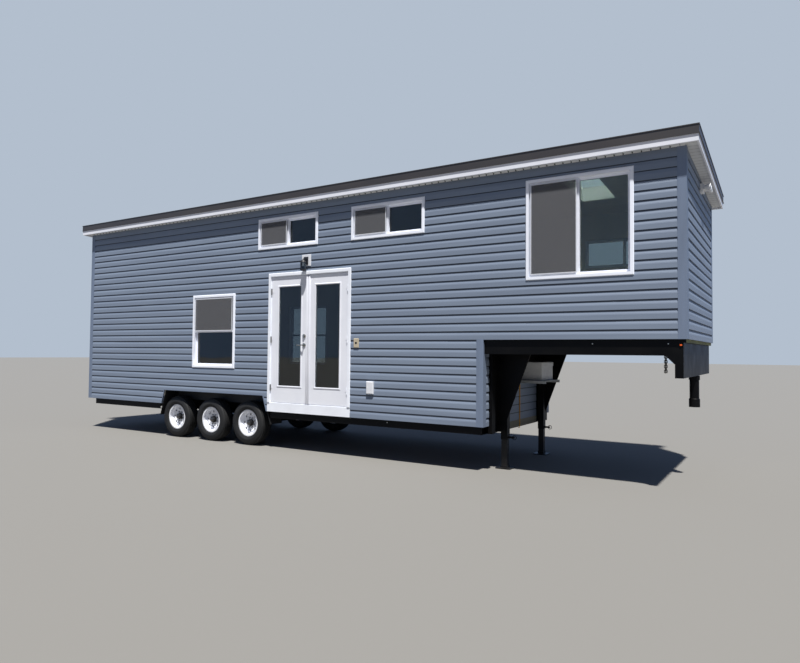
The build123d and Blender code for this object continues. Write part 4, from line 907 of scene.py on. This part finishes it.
door_white = finish("white_door_enamel", "#E4E6EE", "#DADCE6", 0.33, 3.0, grain=120.0)
jamb_white = finish("white_jamb_paint", "#EDF1FA", "#E4E7F0", 0.42, 5.0, grain=150.0)
door_glass = sealed_glass("door_glass", "#A2ABAD")
nickel = finish("satin_nickel", "#B5B0A6", "#9C978D", 0.3, 40.0, metallic=1.0, grain=500.0, depth=0.1 * MM)
hinge_metal = finish("brushed_hinge_steel", "#6E6C69", "#575552", 0.38, 40.0, metallic=1.0, grain=500.0)
paint_nodes(jamb_white, "door_frame", "door_sill")
left_pin_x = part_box("left_door")[0].x - PIN_FROM_LEAF
right_pin_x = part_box("right_door")[1].x + PIN_FROM_LEAF


def hinge_region(middle, normal):
    """Bare steel on the left leaf's knuckles, the jamb's white paint over all else."""
    return 0 if abs(middle.x - left_pin_x) < KNUCKLE_REACH else 1


paint_regions("hinge_pins", [hinge_metal, jamb_white], hinge_region)
for side in ("left", "right"):
    leaf_low, leaf_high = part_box(f"{side}_door")
    leaf_back = near_y + LEAF_THICKNESS
    pane_low, pane_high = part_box(f"{side}_door_glass")
    x0, x1 = pane_low.x + PANE_BITE, pane_high.x - PANE_BITE
    z0 = leaf_low.z + BOTTOM_RAIL
    z1 = z0 + (pane_high.z - pane_low.z) - 2 * PANE_BITE
    leaf = bmesh.new()
    for left, foot, right, top in (
        (leaf_low.x, leaf_low.z, x0, leaf_high.z), (x1, leaf_low.z, leaf_high.x, leaf_high.z),
        (x0, leaf_low.z, x1, z0), (x0, z1, x1, leaf_high.z),
    ):
        add_box(leaf, (left, near_y, foot), (right, leaf_back, top))
    corners = [(x0, z0, -1, -1), (x1, z0, 1, -1), (x1, z1, 1, 1), (x0, z1, -1, 1)]
    for face_y, way in ((near_y, -1), (leaf_back, 1)):
        mitres = [
            [(x + out_x * out, face_y + way * rise, z + out_z * out) for out, rise in PANE_RIM]
            for x, z, out_x, out_z in corners
        ]
        for i, mitre in enumerate(mitres):
            closed_prism(leaf, mitre, mitres[(i + 1) % len(mitres)])
    meeting_x = leaf_high.x if side == "left" else leaf_low.x
    lap = sorted((meeting_x, meeting_x + (-1 if side == "left" else 1) * ASTRAGAL_WIDTH))
    add_box(leaf, (lap[0], near_y - ASTRAGAL_PROUD, leaf_low.z), (lap[1], near_y, leaf_high.z), 1.5 * MM)
    finish_piece(f"{side}_door_leaf", leaf, door_white, f"{side}_leaf", [f"{side}_door"], 25)
    pane = bmesh.new()
    add_box(
        pane, (x0 - PANE_BITE / 2, pane_low.y, z0 - PANE_BITE / 2),
        (x1 + PANE_BITE / 2, pane_high.y, z1 + PANE_BITE / 2), 0.5 * MM,
    )
    finish_piece(f"{side}_door_pane", pane, door_glass, f"{side}_leaf", [f"{side}_door_glass"])
    pin_x = left_pin_x if side == "left" else right_pin_x

    def hardware_region(middle, normal, pin_x=pin_x):
        """Bare knuckles on the left leaf, white plates, satin nickel on the lock near the other edge."""
        reach = abs(middle.x - pin_x)
        if reach < KNUCKLE_REACH and pin_x == left_pin_x:
            return 0
        return 1 if reach < LOCK_FROM_PIN else 2

    paint_regions(f"{side}_door_hardware", [hinge_metal, door_white, nickel], hardware_region)
astragal_seal = bmesh.new()
leaf_low, leaf_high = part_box("left_door")
add_box(
    astragal_seal, (leaf_high.x - SEAL_FROM_EDGE[0], leaf_high.y, leaf_low.z + SEAL_END),
    (leaf_high.x - SEAL_FROM_EDGE[1], leaf_high.y + SEAL_THICKNESS, leaf_high.z - SEAL_END), MM,
)
seal_grey = finish("grey_door_seal", "#4A4A4C", "#3D3D3F", 0.8, 20.0, grain=300.0)
finish_piece("left_door_seal", astragal_seal, seal_grey, "left_leaf")
screws = bmesh.new()
for low, high in solid_boxes("hinge_pins"):
    on_left = low.x < (door_low.x + door_high.x) / 2
    jamb_side = low.x + SCREW_FROM_EDGE if on_left else high.x - SCREW_FROM_EDGE
    for height in (-SCREW_SPREAD, SCREW_SPREAD):
        centre = Vector((jamb_side, near_y - SCREW_SEAT, (low.z + high.z) / 2 + height))
        revolved(screws, [
            (TURNED_CORE, 0), (SCREW_RADIUS, 0), (SCREW_RADIUS * 0.7, -SCREW_PROUD),
            (TURNED_CORE, -SCREW_PROUD),
        ], centre, 16)
finish_piece("hinge_screws", screws, nickel)


# Porch fittings. A black cast lantern with a seeded glass drum hangs on a white vinyl block; beside it an
# outlet cover and a beige cable block, and two round floodlight heads on a box under the front eave.
LANTERN_BARS = 6
LANTERN_DEPTH = 50 * MM
BAR_RADIUS = 43 * MM
BAR_SIZE = 5 * MM
DRUM_REACH = 39 * MM
DRUM_RISE = (27 * MM, 134 * MM)
CABLE_HOLE_RADIUS = 20 * MM
LAMP_DEPTH = 50 * MM
LAMP_HALF = 58 * MM
HEAD_SPREAD = 62 * MM
BAR_HALF = 12 * MM
BAR_THICK = 22 * MM
HEAD_RADIUS = 44 * MM
HEAD_LENGTH = 84 * MM
LENS_INSET = 5 * MM
LAMP_CORE = 1 * MM
HEAD_NECK = ((22 * MM, 0), (30 * MM, 22 * MM), (38 * MM, 40 * MM), (HEAD_RADIUS, HEAD_LENGTH * 0.7))

lantern_black = finish("black_lantern_casting", "#16161A", "#26262A", 0.42, 40.0, grain=300.0)
lantern_low, lantern_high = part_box("porch_lantern")
plate_boxes = solid_boxes("mounting_blocks")
lantern_axis = Vector(((lantern_low.x + lantern_high.x) / 2, lantern_low.y + LANTERN_DEPTH, 0))
drum_low, drum_high = [lantern_low.z + rise for rise in DRUM_RISE]


def lantern_region(middle, normal):
    """Seeded glass on the drum between the cap and the foot, black casting elsewhere."""
    reach = math.hypot(middle.x - lantern_axis.x, middle.y - lantern_axis.y)
    on_drum = reach < DRUM_REACH and drum_low < middle.z < drum_high
    return 1 if on_drum and abs(normal.z) < 0.5 else 0


seeded_glass = sealed_glass("seeded_lantern_glass", "#6F7679")
paint_regions("porch_lantern", [lantern_black, seeded_glass], lantern_region)
bars = bmesh.new()
for i in range(LANTERN_BARS):
    angle = math.tau * (i + 0.5) / LANTERN_BARS
    x = lantern_axis.x + BAR_RADIUS * math.cos(angle)
    y = lantern_axis.y + BAR_RADIUS * math.sin(angle)
    add_box(
        bars, (x - BAR_SIZE / 2, y - BAR_SIZE / 2, drum_low - MM),
        (x + BAR_SIZE / 2, y + BAR_SIZE / 2, drum_high + 2 * MM), 0.8 * MM,
    )
finish_piece("lantern_bars", bars, lantern_black)
block_white = finish("white_block_vinyl", "#DCDEE4", "#CED0D7", 0.45, 12.0, grain=160.0)
cable_beige = finish("beige_cable_block", "#B9AE98", "#A89D87", 0.6, 12.0, grain=160.0)
# The dark disc on the cable block's bore is painted shade.
bore_painted_shade = finish("painted_shade_cable_bore", "#141312", "#1E1C1B", 0.8, 30.0, grain=300.0)
cable_low, cable_high = min(plate_boxes, key=lambda box: box[1].x - box[0].x)


def block_region(middle, normal):
    """Beige for the cable's block with its bore dark as painted shade, white for the two others."""
    if cable_low.z - MM < middle.z < cable_high.z + MM and cable_low.x - MM < middle.x < cable_high.x + MM:
        bore = (cable_low + cable_high) / 2
        return 2 if math.hypot(middle.x - bore.x, middle.z - bore.z) < CABLE_HOLE_RADIUS else 1
    return 0


paint_regions("mounting_blocks", [block_white, cable_beige, bore_painted_shade], block_region)
flood_low, flood_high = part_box("flood_light")
head_z = ((flood_low + flood_high) / 2).z
flood = bmesh.new()
add_box(
    flood, (front_x, -LAMP_HALF, head_z - LAMP_HALF),
    (front_x + LAMP_DEPTH, LAMP_HALF, head_z + LAMP_HALF), 6 * MM,
)
add_box(
    flood, (front_x + LAMP_DEPTH - 2 * MM, -HEAD_SPREAD, head_z - BAR_HALF),
    (front_x + LAMP_DEPTH + BAR_THICK, HEAD_SPREAD, head_z + BAR_HALF), 5 * MM,
)
lenses = bmesh.new()
lens_back = HEAD_LENGTH - LENS_INSET
for y in (-HEAD_SPREAD, HEAD_SPREAD):
    centre = Vector((front_x + LAMP_DEPTH + 2 * MM, y, head_z))
    revolved(flood, [
        (LAMP_CORE, 0), *HEAD_NECK, (HEAD_RADIUS, HEAD_LENGTH), (HEAD_RADIUS - 4 * MM, HEAD_LENGTH),
        (HEAD_RADIUS - 5 * MM, lens_back), (LAMP_CORE, lens_back),
    ], centre, 48, "X")
    revolved(lenses, [
        (LAMP_CORE, lens_back + 0.5 * MM), (HEAD_RADIUS - 6 * MM, lens_back + 0.5 * MM),
        (HEAD_RADIUS - 8 * MM, HEAD_LENGTH - MM), (LAMP_CORE, HEAD_LENGTH - MM),
    ], centre, 48, "X")
lamp_white = finish("white_lamp_casting", "#F2F3F5", "#E6E7EA", 0.4, 30.0, grain=200.0)
lamp_lens = sealed_glass("ribbed_lamp_lens", "#DDE2E6")
finish_piece("floodlight_body", flood, lamp_white, "house", ["flood_light"], 35)
finish_piece("floodlight_lenses", lenses, lamp_lens, smooth=35)


# Legs, hitch and battery. Square steel legs with a pulled pin hold the front level; below the nose hang
# zinc-plated chains, and a galvanised shelf carries a moulded battery box with an amber strap under it,
# before a board and short siding courses fixed to the black panel.
BOLT_HEAD_RADIUS = 9 * MM
BOLT_HEAD_HEIGHT = 6 * MM
BOLT_PLACES = ((1.622, 0.564), (2.371, 0.613), (4.528, 1.690), (5.371, 1.690))
MARKER_SIZE = (26 * MM, 14 * MM, 20 * MM)
MARKER_PLACE = (5.502, 1.676)
STRAP_RIB = 2 * MM
PANEL_PLATE = 12 * MM
BETWEEN_GUSSETS = 1400 * MM
BOARD_HEIGHT = 150 * MM
BOARD_THICKNESS = 6 * MM
COURSE_EDGE = 1 * MM


def strap_webbing():
    """Woven polyester strap: amber, with cross ribs every 2 mm."""
    material, tree, shader, place = start_material("amber_strap_webbing", Roughness=0.8)
    mottle(tree, place, shader, 60.0, "#D89A1E", "#C58813")
    rib = arithmetic(tree, "PINGPONG", split_place(tree, place)["Z"], STRAP_RIB / 2)
    high = add_node(tree, "ShaderNodeMapRange", [("Value", rib)], From_Max=STRAP_RIB / 2)
    bump(tree, shader, high, 0.8, 0.6 * MM)
    return material


# Zinc plating, given much darker than bright zinc: painted shade for the shadowed chain links under the nose.
zinc_darkened_as_painted_shade = finish("zinc_chain_with_painted_shade", "#5E5A52", "#46423B", 0.4, 50.0, metallic=1.0, grain=400.0)
galvanised = finish("galvanised_shelf", "#A3A6A8", "#B3B6B8", 0.6, 24.0, metallic=0.4, grain=90.0)
light_zinc = finish("light_bolt_plating", "#B9B8B2", "#98968E", 0.35, 60.0, metallic=1.0)
leg_black = finish("worn_leg_enamel", "#0E0E0F", "#2A2826", 0.45, 7.0, grain=240.0, gloss_level=0.25)
case_grey = finish("moulded_battery_case", "#D6D8DA", "#C8CBCE", 0.5, 18.0, grain=420.0)
paint_nodes(zinc_darkened_as_painted_shade, "safety_chains")
paint_nodes(leg_black, "near_leg", "far_leg")
paint_nodes(galvanised, "battery_shelf")
paint_nodes(case_grey, "battery_box")
paint_nodes(strap_webbing(), "tie_strap")
panel_front = step_x + PANEL_PLATE
panel_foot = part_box("neck_panel")[0].z
shelf_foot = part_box("battery_shelf")[0].z
board_top = skirt_bottom + COURSE * round((panel_foot + BOARD_HEIGHT - skirt_bottom) / COURSE)
step_board = bmesh.new()
add_box(
    step_board, (panel_front, -BETWEEN_GUSSETS / 2, panel_foot),
    (panel_front + BOARD_THICKNESS, BETWEEN_GUSSETS / 2, board_top), MM,
)
board_wood = timber("weathered_step_board", "#8F8A7A", "#6E695B", (2, 0.3, 6), 0.8)
finish_piece("step_board", step_board, board_wood)
step_courses = bmesh.new()
course_foot = board_top
while course_foot < shelf_foot:
    top = min(course_foot + COURSE, shelf_foot)
    thin = BOARD_THICKNESS - (BOARD_THICKNESS - COURSE_EDGE) * (top - course_foot) / COURSE
    closed_prism(step_courses, *[[
        (panel_front, y, course_foot), (panel_front + BOARD_THICKNESS, y, course_foot),
        (panel_front + thin, y, top), (panel_front, y, top),
    ] for y in (-BETWEEN_GUSSETS / 2, BETWEEN_GUSSETS / 2)])
    course_foot = top
finish_piece("step_courses", step_courses, siding)
bolts = bmesh.new()
channel_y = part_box("chassis")[0].y
for x, z in BOLT_PLACES:
    revolved(bolts, [
        (0.5 * MM, 0), (BOLT_HEAD_RADIUS, 0), (BOLT_HEAD_RADIUS, -BOLT_HEAD_HEIGHT * 0.7),
        (BOLT_HEAD_RADIUS * 0.8, -BOLT_HEAD_HEIGHT), (0.5 * MM, -BOLT_HEAD_HEIGHT),
    ], Vector((x, channel_y, z)), 6)
finish_piece("frame_bolts", bolts, light_zinc)
amber_lens = finish("amber_marker_lens", "#F0641E", "#E2581A", 0.25, 40.0)
marker = bmesh.new()
long_way, deep, tall = MARKER_SIZE
marker_place = Vector((MARKER_PLACE[0], channel_y, MARKER_PLACE[1]))
marker_half = Vector((long_way / 2, 0, tall / 2))
add_box(marker, marker_place - marker_half - Vector((0, deep, 0)), marker_place + marker_half, 5 * MM)
finish_piece("amber_marker_light", marker, amber_lens)


# Floor for the picture, plain light and the camera, at the place worked out from the photograph.
FLOOR_GREY = "#7C7A76"
FOCAL_PIXELS = 629.8
PHOTO_WIDTH = 800
SENSOR_WIDTH = 36
VIEW_REACH = 300
FLOOR_HALF = 120
CAMERA_PLACE = (6.5355, -8.880, 1.563)
CAMERA_YAW = math.radians(31.80)
CAMERA_PITCH = math.radians(1.93)
CAMERA_ROLL = math.radians(0.51)
SUN_AZIMUTH = math.radians(51.8)
SUN_HEIGHT = math.radians(66)
SUN_SPREAD = math.radians(2)
SUN_STRENGTH = 6.7
SUN_COLOUR = (1.0, 0.98, 0.94)
SKY_STRENGTH = 0.17
SKY_COLOUR = "#B4CCFF"
BACKDROP = "#B3BFCE"
MIRRORED_SKY = "#7F9CC8"

floor_mesh = bmesh.new()
bmesh.ops.create_grid(floor_mesh, x_segments=1, y_segments=1, size=FLOOR_HALF)
floor_data = bpy.data.meshes.new("studio_floor")
floor_mesh.to_mesh(floor_data)
floor_mesh.free()
studio_floor = bpy.data.objects.new("studio_floor", floor_data)
collection.objects.link(studio_floor)
floor_data.materials.append(start_material("plain_floor", Base_Color=linear(FLOOR_GREY), Roughness=0.9)[0])

sun_data = bpy.data.lights.new("key_sun", "SUN")
sun_data.energy = SUN_STRENGTH
sun_data.angle = SUN_SPREAD
sun_data.color = SUN_COLOUR
sun = bpy.data.objects.new("key_sun", sun_data)
sun.rotation_euler = (math.pi / 2 - SUN_HEIGHT, 0, math.pi / 2 - SUN_AZIMUTH)
collection.objects.link(sun)

world = bpy.data.worlds.new("studio_sky")
world.use_nodes = True
sky = world.node_tree
background = sky.nodes["Background"]
background.inputs["Color"].default_value = linear(SKY_COLOUR)
background.inputs["Strength"].default_value = SKY_STRENGTH
path = add_node(sky, "ShaderNodeLightPath")
chosen = background
for ray, colour in (
    ("Is Glossy Ray", MIRRORED_SKY), ("Is Transmission Ray", BACKDROP), ("Is Camera Ray", BACKDROP),
):
    seen = add_node(sky, "ShaderNodeBackground", Color=linear(colour), Strength=1.0)
    chosen = add_node(sky, "ShaderNodeMixShader", [("Fac", path.outputs[ray]), (1, chosen), (2, seen)])
sky.links.new(chosen.outputs[0], sky.nodes["World Output"].inputs["Surface"])
bpy.context.scene.world = world

camera_data = bpy.data.cameras.new("photo_camera")
camera_data.sensor_width = SENSOR_WIDTH
camera_data.lens = FOCAL_PIXELS * SENSOR_WIDTH / PHOTO_WIDTH
camera_data.clip_end = VIEW_REACH
camera = bpy.data.objects.new("photo_camera", camera_data)
camera.matrix_world = (
    Matrix.Translation(CAMERA_PLACE) @ Matrix.Rotation(CAMERA_YAW, 4, "Z")
    @ Matrix.Rotation(math.pi / 2 + CAMERA_PITCH, 4, "X") @ Matrix.Rotation(CAMERA_ROLL, 4, "Z")
)
collection.objects.link(camera)
bpy.context.scene.camera = camera
bpy.context.scene.view_settings.view_transform = "Standard"
